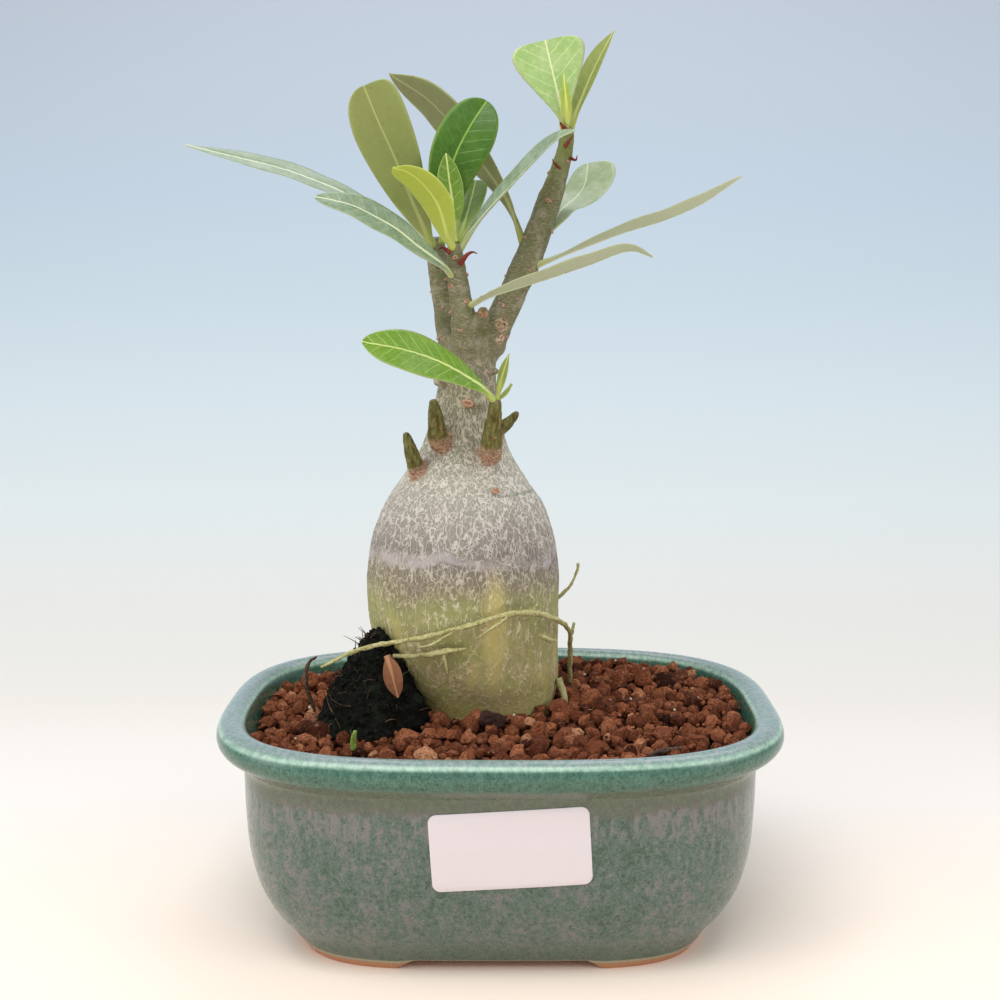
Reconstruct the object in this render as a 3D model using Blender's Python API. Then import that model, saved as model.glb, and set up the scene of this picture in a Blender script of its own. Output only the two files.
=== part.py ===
"""Desert rose (adenium) with a swollen caudex, growing in a glazed bonsai pot.

Metres, +Z up.  X runs along the pot's long side, Y along its short side (the
labelled long side of the pot faces -Y).  The origin is on the standing plane,
under the centre of the whole object's bounding box.
Tables below are in millimetres in the pot's own axes (pot centre at X0, Y0).
"""
import math

import bmesh
import bpy
import numpy as np
from mathutils import Vector

for _o in list(bpy.data.objects):
    bpy.data.objects.remove(_o, do_unlink=True)

# ------------------------------------------------------------------ sizes, mm
X0, Y0 = 3.18, 0.0           # where the pot's centre stands in the row frame
GAP = 0.35                   # clearance between pieces that touch
POT_HEIGHT = 60.2
POT_SEGMENTS = 44            # points round the pot's plan outline
FOOT_POWER, LIP_POWER = 4.0, 3.1   # superellipse exponent of the plan, squarer at the foot
FOOT_HEIGHT = 2.4            # arch height between the four corner feet
FLOOR_TOP = 6.5              # inner floor of the pot
DRAIN_X, DRAIN_R = 27.0, 6.0
SCREEN_SIZE, SCREEN_T, SCREEN_CELLS = 20.0, 0.8, 4
LABEL_W, LABEL_H, LABEL_T, LABEL_TILT = 40.0, 20.5, 0.3, 3.4
LABEL_X, LABEL_Z, LABEL_CORNER = 2.6, 37.0, 2.2

# Outer profile, foot to lip, and inner profile, lip to floor: half length,
# half width, height.
OUTER = [(54.2, 44.6, 0.0), (55.8, 45.8, FOOT_HEIGHT), (59.0, 47.8, 6.9),
         (62.4, 50.6, 11.0), (66.0, 53.6, 18.0), (68.4, 55.6, 27.0),
         (69.5, 56.5, 37.0), (69.9, 56.8, 45.0), (70.2, 56.9, 49.2),
         (72.8, 58.4, 51.2), (75.9, 60.3, 53.4), (77.2, 61.1, 55.8),
         (76.6, 60.5, 58.6), (74.8, 58.9, 60.0)]
INNER = [(72.2, 56.6, POT_HEIGHT), (70.2, 54.8, 59.0), (69.2, 53.9, 56.4),
         (67.2, 52.6, 48.0), (64.8, 50.8, 32.0), (61.0, 47.4, 18.0),
         (55.0, 41.6, 9.4), (48.0, 35.0, FLOOR_TOP)]

# Caudex and trunk: centre x, centre y, radius, height.
CAUDEX = [(-6.0, 12.5, 5.0, 24.0), (-6.0, 12.5, 12.0, 28.0),
          (-5.6, 12.5, 17.0, 38.0), (-5.2, 12.5, 19.6, 48.0),
          (-5.4, 12.6, 21.2, 56.5), (-7.6, 12.4, 24.6, 66.0),
          (-9.8, 12.2, 26.6, 75.0), (-10.6, 12.0, 27.5, 86.0),
          (-10.6, 12.0, 27.4, 95.0), (-10.5, 12.0, 25.8, 105.5),
          (-10.4, 12.0, 22.2, 114.5), (-10.4, 12.0, 17.4, 121.5),
          (-10.2, 12.0, 13.2, 128.0), (-10.0, 12.0, 10.6, 135.0),
          (-9.6, 12.0, 9.0, 142.0), (-9.2, 12.0, 8.0, 149.0),
          (-8.4, 12.0, 7.4, 155.0), (-7.6, 12.0, 6.4, 160.0)]

# Branches and short stub shoots: rows of x, y, z, radius along the axis.
STEMS = {
    "branch_rear_left": [(-9.0, 13.0, 150.0, 3.4), (-11.4, 15.0, 155.0, 4.2),
                         (-14.0, 17.0, 161.0, 3.9), (-15.8, 18.4, 170.0, 3.3),
                         (-17.2, 19.0, 179.0, 3.1), (-18.4, 19.0, 187.4, 2.7)],
    "branch_front": [(-8.0, 11.0, 151.0, 3.2), (-9.0, 7.8, 157.0, 3.9),
                     (-9.6, 5.7, 163.0, 3.8), (-10.6, 4.9, 170.0, 3.3),
                     (-11.6, 4.4, 177.5, 2.7), (-12.5, 4.0, 185.6, 2.1)],
    "branch_right": [(-7.4, 12.0, 151.0, 3.6), (-4.6, 12.0, 157.0, 4.7),
                     (-1.2, 12.0, 163.0, 4.2), (3.0, 12.0, 172.0, 3.9),
                     (8.4, 12.0, 184.0, 3.9), (12.4, 12.0, 195.0, 3.5),
                     (15.6, 12.0, 204.0, 2.9), (17.8, 12.0, 212.0, 2.3),
                     (18.7, 12.0, 217.6, 1.8)],
    "stub_fork": [(-5.6, 9.0, 161.0, 2.4), (-4.9, 4.6, 166.0, 1.9),
                  (-4.6, 2.2, 168.4, 1.5)],
    "shoot_left": [(-21.6, 5.0, 122.0, 2.4), (-23.1, 2.2, 124.8, 2.5),
                   (-24.2, 0.2, 130.3, 1.8), (-25.5, -1.0, 135.6, 1.1),
                   (-26.6, -1.6, 140.0, 0.6)],
    "shoot_centre": [(-16.0, 5.0, 130.5, 2.6), (-17.2, 0.8, 133.9, 3.1),
                     (-18.0, -1.4, 139.0, 2.5), (-18.6, -2.6, 143.6, 1.5),
                     (-20.2, -3.2, 145.6, 0.7)],
    "shoot_right": [(-3.4, 2.4, 127.0, 3.0), (-2.5, -2.2, 130.6, 3.2),
                    (-1.9, -5.0, 137.0, 2.4), (-1.2, -7.2, 144.2, 1.7)],
    "shoot_rear": [(-2.4, 9.0, 133.6, 1.9), (0.8, 8.0, 135.9, 1.9),
                   (3.2, 7.6, 138.0, 1.4), (4.8, 7.4, 140.0, 0.9)],
}

# Leaves: midrib points from stem to tip, greatest half width, where along the
# blade that is (0..1), tip bluntness, share of the width on each side of the
# midrib, direction the upper face looks at the base and at the tip.
LEAVES = {
    "leaf_rear_large": dict(mid=[(-19.0, 17.0, 186.0), (-24.4, 12.5, 198.5), (-28.6, 7.0, 209.5), (-33.0, 2.0, 219.6), (-36.2, -2.0, 227.8)],
                           w=10.6, wide=0.66, blunt=0.42, sides=(0.78, 0.74), wides=(0.82, 0.70), blunts=(0.18, 0.42), n0=(-0.25, 0.90, 0.36), n1=(-0.15, 0.86, 0.48)),
    "leaf_rear_crossing": dict(mid=[(6.6, 12.4, 186.5), (1.6, 14.0, 199.6), (-8.6, 18.0, 213.6), (-19.0, 21.0, 226.0), (-31.3, 24.0, 234.4)],
                              w=8.0, wide=0.66, blunt=0.75, sides=(0.78, 0.80), blunts=(1.05, 0.75), n0=(0.60, 0.72, 0.34), n1=(0.42, 0.74, 0.52)),
    "leaf_dark_glossy": dict(mid=[(-15.6, 12.0, 187.0), (-14.9, 8.6, 199.0), (-12.8, 7.4, 208.8), (-8.6, 8.6, 217.6), (-3.6, 11.0, 225.4)],
                             w=9.2, wide=0.70, blunt=0.50, sides=(0.80, 0.90), n0=(0.05, -0.96, 0.20), n1=(0.10, -0.94, 0.32)),
    "leaf_young_yellow": dict(mid=[(-12.9, 3.0, 185.0), (-14.4, 1.0, 189.9), (-16.6, -2.0, 196.9), (-20.2, -5.4, 201.9), (-24.2, -8.0, 204.9), (-28.0, -10.0, 205.9)],
                             w=5.5, wide=0.62, blunt=0.55, sides=(0.85, 1.00), wides=(0.56, 0.62), blunts=(1.00, 0.45), n0=(0.35, 0.80, 0.48), n1=(0.25, 0.72, 0.64)),
    "leaf_young_upright": dict(mid=[(-12.5, 3.8, 187.0), (-12.9, 3.4, 197.0), (-13.8, 3.0, 204.0), (-14.6, 2.6, 210.6)],
                              w=3.5, wide=0.60, blunt=0.85, n0=(0.10, -0.98, 0.10), n1=(0.10, -0.98, 0.15)),
    "leaf_rear_right_short": dict(mid=[(-11.4, 6.0, 186.6), (-9.6, 10.6, 193.0), (-8.0, 14.4, 199.2), (-6.8, 17.0, 204.4)],
                                 w=4.2, wide=0.80, blunt=0.20, n0=(-0.30, -0.80, 0.50), n1=(-0.25, -0.80, 0.55)),
    "leaf_narrow_folded": dict(mid=[(-11.4, 4.4, 184.8), (-5.2, 3.4, 193.2), (1.9, 2.6, 200.9), (9.2, 2.2, 208.5), (15.1, 1.8, 214.0), (20.2, 1.6, 216.5)],
                              w=5.0, wide=0.64, blunt=0.50, fold=0.22, n0=(-0.72, -0.30, 0.62), n1=(-0.50, -0.34, 0.80)),
    "leaf_long_left": dict(mid=[(-17.2, 16.6, 181.2), (-19.3, 13.0, 184.8), (-21.9, 11.2, 187.8), (-26.4, 9.8, 192.1), (-33.3, 8.4, 195.5), (-40.0, 7.0, 199.0), (-46.6, 5.2, 202.1), (-58.6, 1.8, 206.4), (-73.0, -1.6, 209.8), (-83.7, -3.6, 212.2)],
                          w=5.2, wide=0.62, blunt=1.00, n0=(0.42, -0.42, 0.80), n1=(0.15, -0.45, 0.88)),
    "leaf_lower_left": dict(mid=[(-12.2, 3.8, 177.2), (-16.8, -0.8, 181.8), (-22.4, -3.2, 186.0), (-27.3, -4.6, 190.0), (-32.2, -5.2, 192.9), (-38.8, -5.4, 196.2), (-44.7, -5.2, 197.8), (-49.4, -4.6, 198.6)],
                           w=5.3, wide=0.60, blunt=0.60, n0=(0.42, -0.55, 0.72), n1=(0.15, -0.66, 0.74)),
    "leaf_right_upper": dict(mid=[(9.6, 10.8, 180.9), (20.6, 6.5, 184.9), (32.7, 3.0, 189.4), (44.6, 0.4, 193.0), (53.7, -1.6, 196.9), (59.3, -3.0, 200.5), (64.4, -4.0, 204.1)],
                            w=6.0, wide=0.64, blunt=0.85, fold=0.24, n0=(-0.30, 0.14, 0.94), n1=(-0.38, 0.16, 0.90)),
    "leaf_right_lower": dict(mid=[(-9.2, 4.2, 169.6), (-2.2, -1.0, 172.6), (12.0, -7.5, 177.0), (23.7, -11.5, 180.9), (33.5, -14.0, 184.3), (39.9, -15.5, 182.6)],
                            w=6.0, wide=0.62, blunt=0.62, fold=0.22, n0=(-0.20, 0.14, 0.96), n1=(0.05, 0.12, 0.98)),
    "leaf_behind_right": dict(mid=[(12.4, 13.4, 188.6), (15.7, 16.0, 193.7), (17.4, 18.0, 196.5), (21.7, 22.5, 200.2), (24.3, 26.5, 204.1), (25.4, 31.0, 210.1)],
                             w=9.6, wide=0.66, blunt=0.40, sides=(0.62, 1.00), wides=(0.64, 0.76), blunts=(0.40, 0.30), n0=(-0.50, -0.62, 0.60), n1=(-0.42, -0.72, 0.55)),
    "leaf_top_fan": dict(mid=[(18.0, 11.6, 216.6), (16.4, 9.4, 224.4), (14.2, 8.4, 233.0), (12.2, 8.2, 241.0)],
                         w=10.4, wide=0.86, blunt=0.26, n0=(0.10, -0.93, 0.34), n1=(0.10, -0.88, 0.46)),
    "leaf_top_lance": dict(mid=[(19.0, 12.4, 216.6), (22.6, 13.4, 226.6), (26.6, 14.4, 235.8), (31.4, 15.0, 244.6)],
                           w=4.4, wide=0.58, blunt=1.00, sides=(0.95, 0.45), n0=(-0.55, -0.80, 0.22), n1=(-0.62, -0.72, 0.30)),
    "leaf_bud_spear": dict(mid=[(18.6, 9.6, 218.6), (18.0, 8.2, 224.6), (17.2, 7.2, 232.0)],
                           w=1.5, wide=0.40, blunt=1.20, n0=(0.10, -0.98, 0.10), n1=(0.10, -0.98, 0.10)),
    "leaf_neck": dict(mid=[(-1.4, -7.0, 144.4), (-6.4, -10.6, 149.6), (-15.5, -14.8, 155.2), (-25.1, -17.8, 158.7), (-35.9, -20.0, 160.8)],
                      w=8.0, wide=0.66, blunt=0.66, sides=(1.12, 0.95), n0=(0.35, -0.55, 0.75), n1=(0.15, -0.62, 0.76)),
    "leaf_shoot_upright": dict(mid=[(-0.8, -7.6, 144.6), (0.6, -8.8, 150.8), (2.4, -9.8, 157.2)],
                               w=1.6, wide=0.55, blunt=1.10, n0=(-0.60, -0.78, 0.15), n1=(-0.60, -0.78, 0.15)),
    "leaf_shoot_small": dict(mid=[(-1.0, -6.8, 144.4), (1.6, -6.6, 146.6), (3.2, -6.4, 149.0)],
                             w=0.9, wide=0.50, blunt=1.10, n0=(-0.40, -0.60, 0.60), n1=(-0.40, -0.60, 0.60)),
}

# Bare roots: x, y, z, radius.
ROOTS = {
    "root_long": [(20.8, 21.4, 58.6, 1.0), (20.6, 18.0, 64.5, 1.1), (20.4, 14.0, 71.2, 1.0),
                  (19.8, 7.0, 77.6, 0.9), (16.2, -4.4, 83.2, 0.9), (9.2, -12.6, 87.2, 1.1),
                  (1.6, -16.2, 87.4, 0.9), (-7.4, -18.0, 85.2, 0.9), (-16.4, -17.6, 82.6, 0.9),
                  (-25.6, -16.6, 80.4, 0.8), (-33.4, -15.6, 79.0, 0.8), (-41.0, -14.8, 76.4, 0.7),
                  (-48.4, -14.0, 72.6, 0.6)],
    "root_short": [(-29.0, -13.4, 75.4, 0.8), (-22.4, -15.4, 76.0, 0.9), (-15.6, -17.0, 77.4, 1.1),
                   (-9.2, -17.3, 78.4, 0.6)],
    "root_tendril": [(18.6, 12.4, 87.0, 0.6), (20.6, 11.6, 90.4, 0.55), (21.8, 11.0, 93.4, 0.5),
                     (22.3, 10.6, 96.2, 0.6)],
    "root_curl_dark": [(-53.4, -7.4, 60.0, 0.6), (-53.6, -7.4, 66.0, 0.7), (-53.2, -7.0, 71.4, 0.6),
                       (-51.0, -6.2, 73.4, 0.5)],
}

COLOURS = {
    "ceramic": ((0.16, 0.33, 0.28, 1), 0.25), "soil": ((0.20, 0.07, 0.035, 1), 0.95),
    "bark": ((0.42, 0.40, 0.32, 1), 0.75), "leaf": ((0.16, 0.34, 0.07, 1), 0.35),
    "leaf_grey": ((0.30, 0.38, 0.24, 1), 0.40), "leaf_young": ((0.42, 0.60, 0.12, 1), 0.40),
    "root": ((0.48, 0.46, 0.24, 1), 0.70), "peat": ((0.015, 0.014, 0.012, 1), 1.0),
    "dry": ((0.24, 0.12, 0.06, 1), 0.85), "label": ((0.86, 0.86, 0.84, 1), 0.45),
    "screen": ((0.03, 0.03, 0.03, 1), 0.50), "stone": ((0.05, 0.035, 0.03, 1), 0.90),
}


def material(name):
    m = bpy.data.materials.get(name)
    if m is None:
        m = bpy.data.materials.new(name)
        m.use_nodes = True
        shader = m.node_tree.nodes["Principled BSDF"]
        colour, rough = COLOURS[name]
        shader.inputs["Base Color"].default_value = colour
        shader.inputs["Roughness"].default_value = rough
        shader.inputs["Metallic"].default_value = 0.0
        m.diffuse_color = colour
    return m


def curve(rows, samples):
    """Catmull-Rom through the rows, evenly spaced along the polyline."""
    a = np.array(rows, float)
    knots = np.concatenate([[0], np.cumsum(np.linalg.norm(np.diff(a[:, :3], axis=0), axis=1))])
    ext = np.vstack([2 * a[0] - a[1], a, 2 * a[-1] - a[-2]])
    out = []
    for d in np.linspace(0, knots[-1], samples):
        i = min(int(np.searchsorted(knots, d, side="right")) - 1, len(a) - 2)
        u = (d - knots[i]) / (knots[i + 1] - knots[i])
        p0, p1, p2, p3 = ext[i:i + 4]
        out.append(0.5 * (2 * p1 + (p2 - p0) * u + (2 * p0 - 5 * p1 + 4 * p2 - p3) * u * u
                          + (3 * p1 - p0 - 3 * p2 + p3) * u ** 3))
    return np.array(out)


def unit(v):
    v = np.array(v, float)
    return v / np.linalg.norm(v)


def loft(name, rings, mat, smooth=True, shift=(X0, Y0, 0.0)):
    """One closed body through rings of equal point count, ends capped."""
    bm = bmesh.new()
    loops = [[bm.verts.new(Vector(p) * 0.001 + Vector(shift) * 0.001) for p in r] for r in rings]
    n = len(loops[0])
    for lo, hi in zip(loops, loops[1:]):
        for i in range(n):
            j = (i + 1) % n
            bm.faces.new((lo[i], lo[j], hi[j], hi[i]))
    bm.faces.new(loops[0][::-1])
    bm.faces.new(loops[-1])
    bmesh.ops.recalc_face_normals(bm, faces=bm.faces)
    return finish(name, bm, mat, smooth)


def finish(name, bm, mat, smooth=True):
    mesh = bpy.data.meshes.new(name)
    bm.to_mesh(mesh)
    bm.free()
    obj = bpy.data.objects.new(name, mesh)
    bpy.context.scene.collection.objects.link(obj)
    mesh.materials.append(material(mat))
    if smooth:
        mesh.shade_smooth()
        mesh.set_sharp_from_angle(angle=math.radians(40))
    return obj


def cutter(obj):
    obj.hide_render = True
    obj.display_type = "WIRE"
    return obj


def boolean(obj, other, operation):
    m = obj.modifiers.new(operation.lower() + "_" + other.name, "BOOLEAN")
    m.operation = operation
    m.object = other
    m.solver = "EXACT"
    return m


def tube(name, rows, sides, samples, mat, tip=0.6, grow=0.0):
    """Round stem or root: a swept circle with softly domed ends."""
    pts = curve(rows, samples)
    rings = []
    side = None
    for i, p in enumerate(pts):
        t = unit(pts[min(i + 1, len(pts) - 1)][:3] - pts[max(i - 1, 0)][:3])
        if side is None:
            side = unit(np.cross(t, (0.3, 1.0, 0.2)))
        side = unit(side - t * np.dot(side, t))
        up = np.cross(t, side)
        r = p[3] + grow
        ring = [p[:3] + r * (math.cos(a) * side + math.sin(a) * up)
                for a in (2 * math.pi * k / sides for k in range(sides))]
        rings.append(ring)
        if i == len(pts) - 1:
            rings.append([p[:3] + t * r * tip + 0.55 * (q - p[:3]) for q in ring])
    return loft(name, rings, mat)


# --------------------------------------------------------------------- pot
def plan_power(z):
    """Superellipse exponent of the pot's plan at a height."""
    u = min(max((z - 8.0) / 44.0, 0.0), 1.0)
    return FOOT_POWER + (LIP_POWER - FOOT_POWER) * u


def outline(a, b, z, segments=POT_SEGMENTS):
    power = plan_power(z)
    pts = []
    for k in range(segments):
        t = 2 * math.pi * (k + 0.5) / segments
        c, s = math.cos(t), math.sin(t)
        pts.append((a * math.copysign(abs(c) ** (2 / power), c),
                    b * math.copysign(abs(s) ** (2 / power), s)))
    return pts


def plan_ring(a, b, z, segments=POT_SEGMENTS):
    return [(x, y, z) for x, y in outline(a, b, z, segments)]


def at_height(profile, z):
    rows = sorted(profile, key=lambda r: r[2])
    for lo, hi in zip(rows, rows[1:]):
        if lo[2] <= z <= hi[2]:
            u = (z - lo[2]) / (hi[2] - lo[2])
            return lo[0] + u * (hi[0] - lo[0]), lo[1] + u * (hi[1] - lo[1])
    return (rows[0] if z < rows[0][2] else rows[-1])[:2]


def block(name, lo, hi, flare=(0.0, 0.0), mat="ceramic"):
    """Box between two heights; its foot is wider than its top by flare."""
    fx, fy = flare
    rings = [[(lo[0] - fx, lo[1] - fy, lo[2]), (hi[0] + fx, lo[1] - fy, lo[2]),
              (hi[0] + fx, hi[1] + fy, lo[2]), (lo[0] - fx, hi[1] + fy, lo[2])],
             [(lo[0], lo[1], hi[2]), (hi[0], lo[1], hi[2]), (hi[0], hi[1], hi[2]), (lo[0], hi[1], hi[2])]]
    return loft(name, rings, mat, smooth=False)


def disc_rings(cx, cy, r, z_lo, z_hi, sides):
    ring = [(cx + r * math.cos(2 * math.pi * k / sides), cy + r * math.sin(2 * math.pi * k / sides))
            for k in range(sides)]
    return [[(x, y, z_lo) for x, y in ring], [(x, y, z_hi) for x, y in ring]]


def make_pot():
    pot = loft("pot", [plan_ring(*row) for row in OUTER + INNER], "ceramic")
    arch_x = cutter(block("cut_arch_front_back", (-23.5, -60, -2.0), (23.5, 60, FOOT_HEIGHT), (4.0, 0)))
    arch_y = cutter(block("cut_arch_sides", (-70, -15.0, -2.0), (70, 15.0, FOOT_HEIGHT - 0.02), (0, 4.0)))
    boolean(pot, arch_x, "DIFFERENCE")
    boolean(pot, arch_y, "DIFFERENCE")
    for sign, label in ((-1, "left"), (1, "right")):
        hole = cutter(loft("cut_drain_" + label,
                           disc_rings(sign * DRAIN_X, 0, DRAIN_R, -3, FLOOR_TOP + 3, 20), "ceramic"))
        boolean(pot, hole, "DIFFERENCE")
    return pot


def make_screen(name, cx):
    """Flat plastic drainage mesh that lies over one drain hole."""
    n = 2 * SCREEN_CELLS + 1
    step = SCREEN_SIZE / n
    bm = bmesh.new()
    z = FLOOR_TOP + GAP
    grid = [[bm.verts.new(((cx - SCREEN_SIZE / 2 + i * step + X0) * 0.001,
                           (-SCREEN_SIZE / 2 + j * step + Y0) * 0.001, z * 0.001))
             for j in range(n + 1)] for i in range(n + 1)]
    keep = [bm.faces.new((grid[i][j], grid[i + 1][j], grid[i + 1][j + 1], grid[i][j + 1]))
            for i in range(n) for j in range(n) if not (i % 2 and j % 2)]
    top = bmesh.ops.extrude_face_region(bm, geom=keep)
    bmesh.ops.translate(bm, vec=(0, 0, SCREEN_T * 0.001),
                        verts=[g for g in top["geom"] if isinstance(g, bmesh.types.BMVert)])
    bmesh.ops.recalc_face_normals(bm, faces=bm.faces)
    return finish(name, bm, "screen", smooth=False)


def wall_y(x, z):
    """Front wall of the pot: y on the outside at a length and a height."""
    a, b = at_height(OUTER, z)
    power = plan_power(z)
    return -b * (1 - min(abs(x) / a, 1) ** power) ** (1 / power)


def make_label():
    """Blank plastic label stuck to the front wall, following its curve."""
    tilt = math.radians(LABEL_TILT)
    hw, hh, c = LABEL_W / 2, LABEL_H / 2, LABEL_CORNER
    edge = []
    for cx, cy, a0 in ((hw - c, hh - c, 0), (-hw + c, hh - c, 90), (-hw + c, -hh + c, 180), (hw - c, -hh + c, 270)):
        for k in range(4):
            a = math.radians(a0 + 30 * k)
            edge.append((cx + c * math.cos(a), cy + c * math.sin(a)))
    edge_full = []
    for i, p in enumerate(edge):
        q = edge[(i + 1) % len(edge)]
        edge_full.append(p)
        if i % 4 == 3:
            for k in (1, 2, 3):
                edge_full.append((p[0] + (q[0] - p[0]) * k / 4, p[1] + (q[1] - p[1]) * k / 4))

    def ring(scale, off):
        out = []
        for u, v in edge_full:
            u, v = u * scale, v * scale
            x = LABEL_X + u * math.cos(tilt) - v * math.sin(tilt)
            z = LABEL_Z + u * math.sin(tilt) + v * math.cos(tilt)
            out.append((x, wall_y(x, z) - off, z))
        return out
    back, front = 0.45, 0.45 + LABEL_T
    rings = [ring(s, back) for s in (0.15, 0.6, 1.0)] + [ring(s, front) for s in (1.0, 0.6, 0.15)]
    return loft("label", rings, "label")


# -------------------------------------------------------------------- soil
def soil_z(x, y):
    return (54.9 + 0.021 * x + 0.040 * y
            + 2.5 * math.exp(-((x + 4) / 38) ** 2 - ((y - 10) / 30) ** 2))


def make_soil():
    rings = []
    for a, b, z in sorted(INNER, key=lambda r: r[2]):
        if z > 50:
            break
        rings.append(plan_ring(a - GAP - 0.05, b - GAP - 0.05, z + (GAP if z == FLOOR_TOP else 0.0)))
    a, b = at_height(INNER, 53.0)
    for scale in (1.0, 0.86, 0.66, 0.44, 0.22, 0.05):
        rings.append([(x, y, soil_z(x, y)) for x, y in outline((a - 0.45) * scale, (b - 0.45) * scale, 53.0)])
    soil = loft("soil_bed", rings, "soil")
    hole = cutter(round_stack("cut_root_space", CAUDEX, GAP, 20, "soil", top=90.0))
    boolean(soil, hole, "DIFFERENCE")
    for sign, label in ((-1, "left"), (1, "right")):
        s = SCREEN_SIZE / 2 + GAP
        pocket = cutter(block("cut_screen_" + label, (sign * DRAIN_X - s, -s, FLOOR_TOP - 2),
                              (sign * DRAIN_X + s, s, FLOOR_TOP + 2 * GAP + SCREEN_T)))
        boolean(soil, pocket, "DIFFERENCE")
    return soil


# ------------------------------------------------------------------- plant
def round_stack(name, rows, grow, sides, mat, top=1e9):
    rings = []
    for i, (cx, cy, r, z) in enumerate(rows):
        if z > top:
            break
        z2 = z - grow if i == 0 else z
        rings.append([(cx + (r + grow) * math.cos(2 * math.pi * k / sides),
                       cy + (r + grow) * math.sin(2 * math.pi * k / sides), z2) for k in range(sides)])
    return loft(name, rings, mat)


def make_plant():
    """Caudex, trunk, branches and stubs: grown as one piece."""
    plant = round_stack("plant", CAUDEX, 0.0, 20, "bark")
    for key, rows in STEMS.items():
        sides = 12 if key.startswith("branch") else 8
        arm = cutter(tube("add_" + key, rows, sides, 2 * len(rows) - 1 if sides == 12 else len(rows) + 1, "bark"))
        boolean(plant, arm, "UNION")
    return plant


def caudex_at(z):
    for lo, hi in zip(CAUDEX, CAUDEX[1:]):
        if lo[3] <= z <= hi[3]:
            u = (z - lo[3]) / (hi[3] - lo[3])
            return tuple(lo[i] + u * (hi[i] - lo[i]) for i in range(3))
    return None


def clearance(p):
    """Distance from a point to the nearest stem surface."""
    best = 1e9
    for rows in STEMS.values():
        pts = curve(rows, 24)
        d = np.linalg.norm(pts[:, :3] - p, axis=1) - pts[:, 3]
        best = min(best, float(d.min()))
    c = caudex_at(p[2])
    if c:
        best = min(best, math.hypot(p[0] - c[0], p[1] - c[1]) - c[2])
    return best


def half_width(leaf, t, k=0):
    """Half the blade's width on side k at a share t of its length."""
    b = leaf["blunts"][k] if "blunts" in leaf else leaf["blunt"]
    wide = leaf["wides"][k] if "wides" in leaf else leaf["wide"]
    a = b * wide / (1 - wide)
    peak = wide ** a * (1 - wide) ** b
    return leaf["w"] * max(t, 1e-6) ** a * max(1 - t, 0.0) ** b / peak


def make_leaf(name, leaf, stations=10):
    mid = curve(leaf["mid"], 101)
    start = 0
    while clearance(mid[start]) < GAP + 0.95:
        start += 1
    t0 = start / 100
    rings = []
    for k in range(stations):
        u = k / (stations - 1)
        t = t0 + (1 - t0) * (u ** 0.9 if leaf["blunt"] >= 0.6 else 1 - (1 - u) ** 1.25)
        t = min(t, 0.995)
        i = t * 100
        lo = int(i)
        p = mid[lo] + (mid[min(lo + 1, 100)] - mid[lo]) * (i - lo)
        tan = unit(mid[min(lo + 2, 100)] - mid[max(lo - 2, 0)])
        nor = (1 - t) * np.array(leaf["n0"]) + t * np.array(leaf["n1"])
        nor = unit(nor - tan * np.dot(nor, tan))
        side = np.cross(tan, nor)
        stalk = 0.65 * max(0.0, 1 - t / 0.35)
        widths = [max(half_width(leaf, t, k) * q, 0.35) + 0.3 * (t < 0.2)
                  for k, q in enumerate(leaf.get("sides", (1.0, 1.0)))]
        fold = leaf.get("fold", 0.0) * min(1.0, t / 0.2)
        thick = 0.38 + stalk * 0.45
        ring = []
        for s, up in ((-1, 0), (-0.5, 1), (0, 1), (0.5, 1), (1, 0), (0.5, -1), (0, -1), (-0.5, -1)):
            w = widths[s > 0]
            lift = 0.10 * w * s * s + fold * abs(s) * w
            ring.append(p + side * (s * w) + nor * (lift + up * thick * (1 - 0.35 * abs(s))))
        rings.append(ring)
    young = name in ("leaf_young_yellow", "leaf_young_upright", "leaf_bud_spear", "leaf_top_fan")
    grey = name in ("leaf_long_left", "leaf_lower_left", "leaf_right_upper", "leaf_right_lower",
                    "leaf_narrow_folded", "leaf_behind_right", "leaf_rear_large", "leaf_rear_crossing")
    return loft(name, rings, "leaf_young" if young else "leaf_grey" if grey else "leaf")


# ------------------------------------------------------ loose pieces on the soil
def hash_noise(x, y, seed):
    v = math.sin(x * 12.9898 + y * 78.233 + seed * 37.719) * 43758.5453
    return v - math.floor(v)


def ripple(x, y):
    return math.sin(0.62 * x + 1.3) * math.cos(0.55 * y - 0.4) + 0.5 * math.sin(1.27 * x - 1.1 * y)


def make_peat():
    """Lump of old black peat that leans against the caudex."""
    cx, cy, ax, ay = -36.4, -7.4, 15.6, 13.4
    sides = 22
    rings_top, rings_low = [], []
    for s in (0.06, 0.3, 0.52, 0.72, 0.88, 1.0):
        top, low = [], []
        for k in range(sides):
            a = 2 * math.pi * k / sides
            wob = 1 + 0.07 * math.sin(3 * a + 0.7) + 0.05 * math.sin(5 * a + 2.1)
            x, y = cx + ax * s * wob * math.cos(a), cy + ay * s * wob * math.sin(a)
            ground = soil_z(x, y) + GAP + 0.1
            dome = (1 - s ** 2.6) ** 0.75
            # the peak stands back and left of the middle
            peak = 21.5 * math.exp(-((x + 33) / 15) ** 2 - ((y + 4) / 15) ** 2)
            h = max(1.2, (0.35 * 12 + peak) * dome + 0.7 * ripple(x, y) * dome)
            top.append((x, y, ground + h))
            low.append((x, y, ground))
        rings_top.append(top)
        rings_low.append(low)
    peat = loft("peat_clump", rings_low + rings_top[::-1], "peat")
    space = cutter(round_stack("cut_caudex_space", CAUDEX, GAP, 20, "peat"))
    boolean(peat, space, "DIFFERENCE")
    return peat


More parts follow.
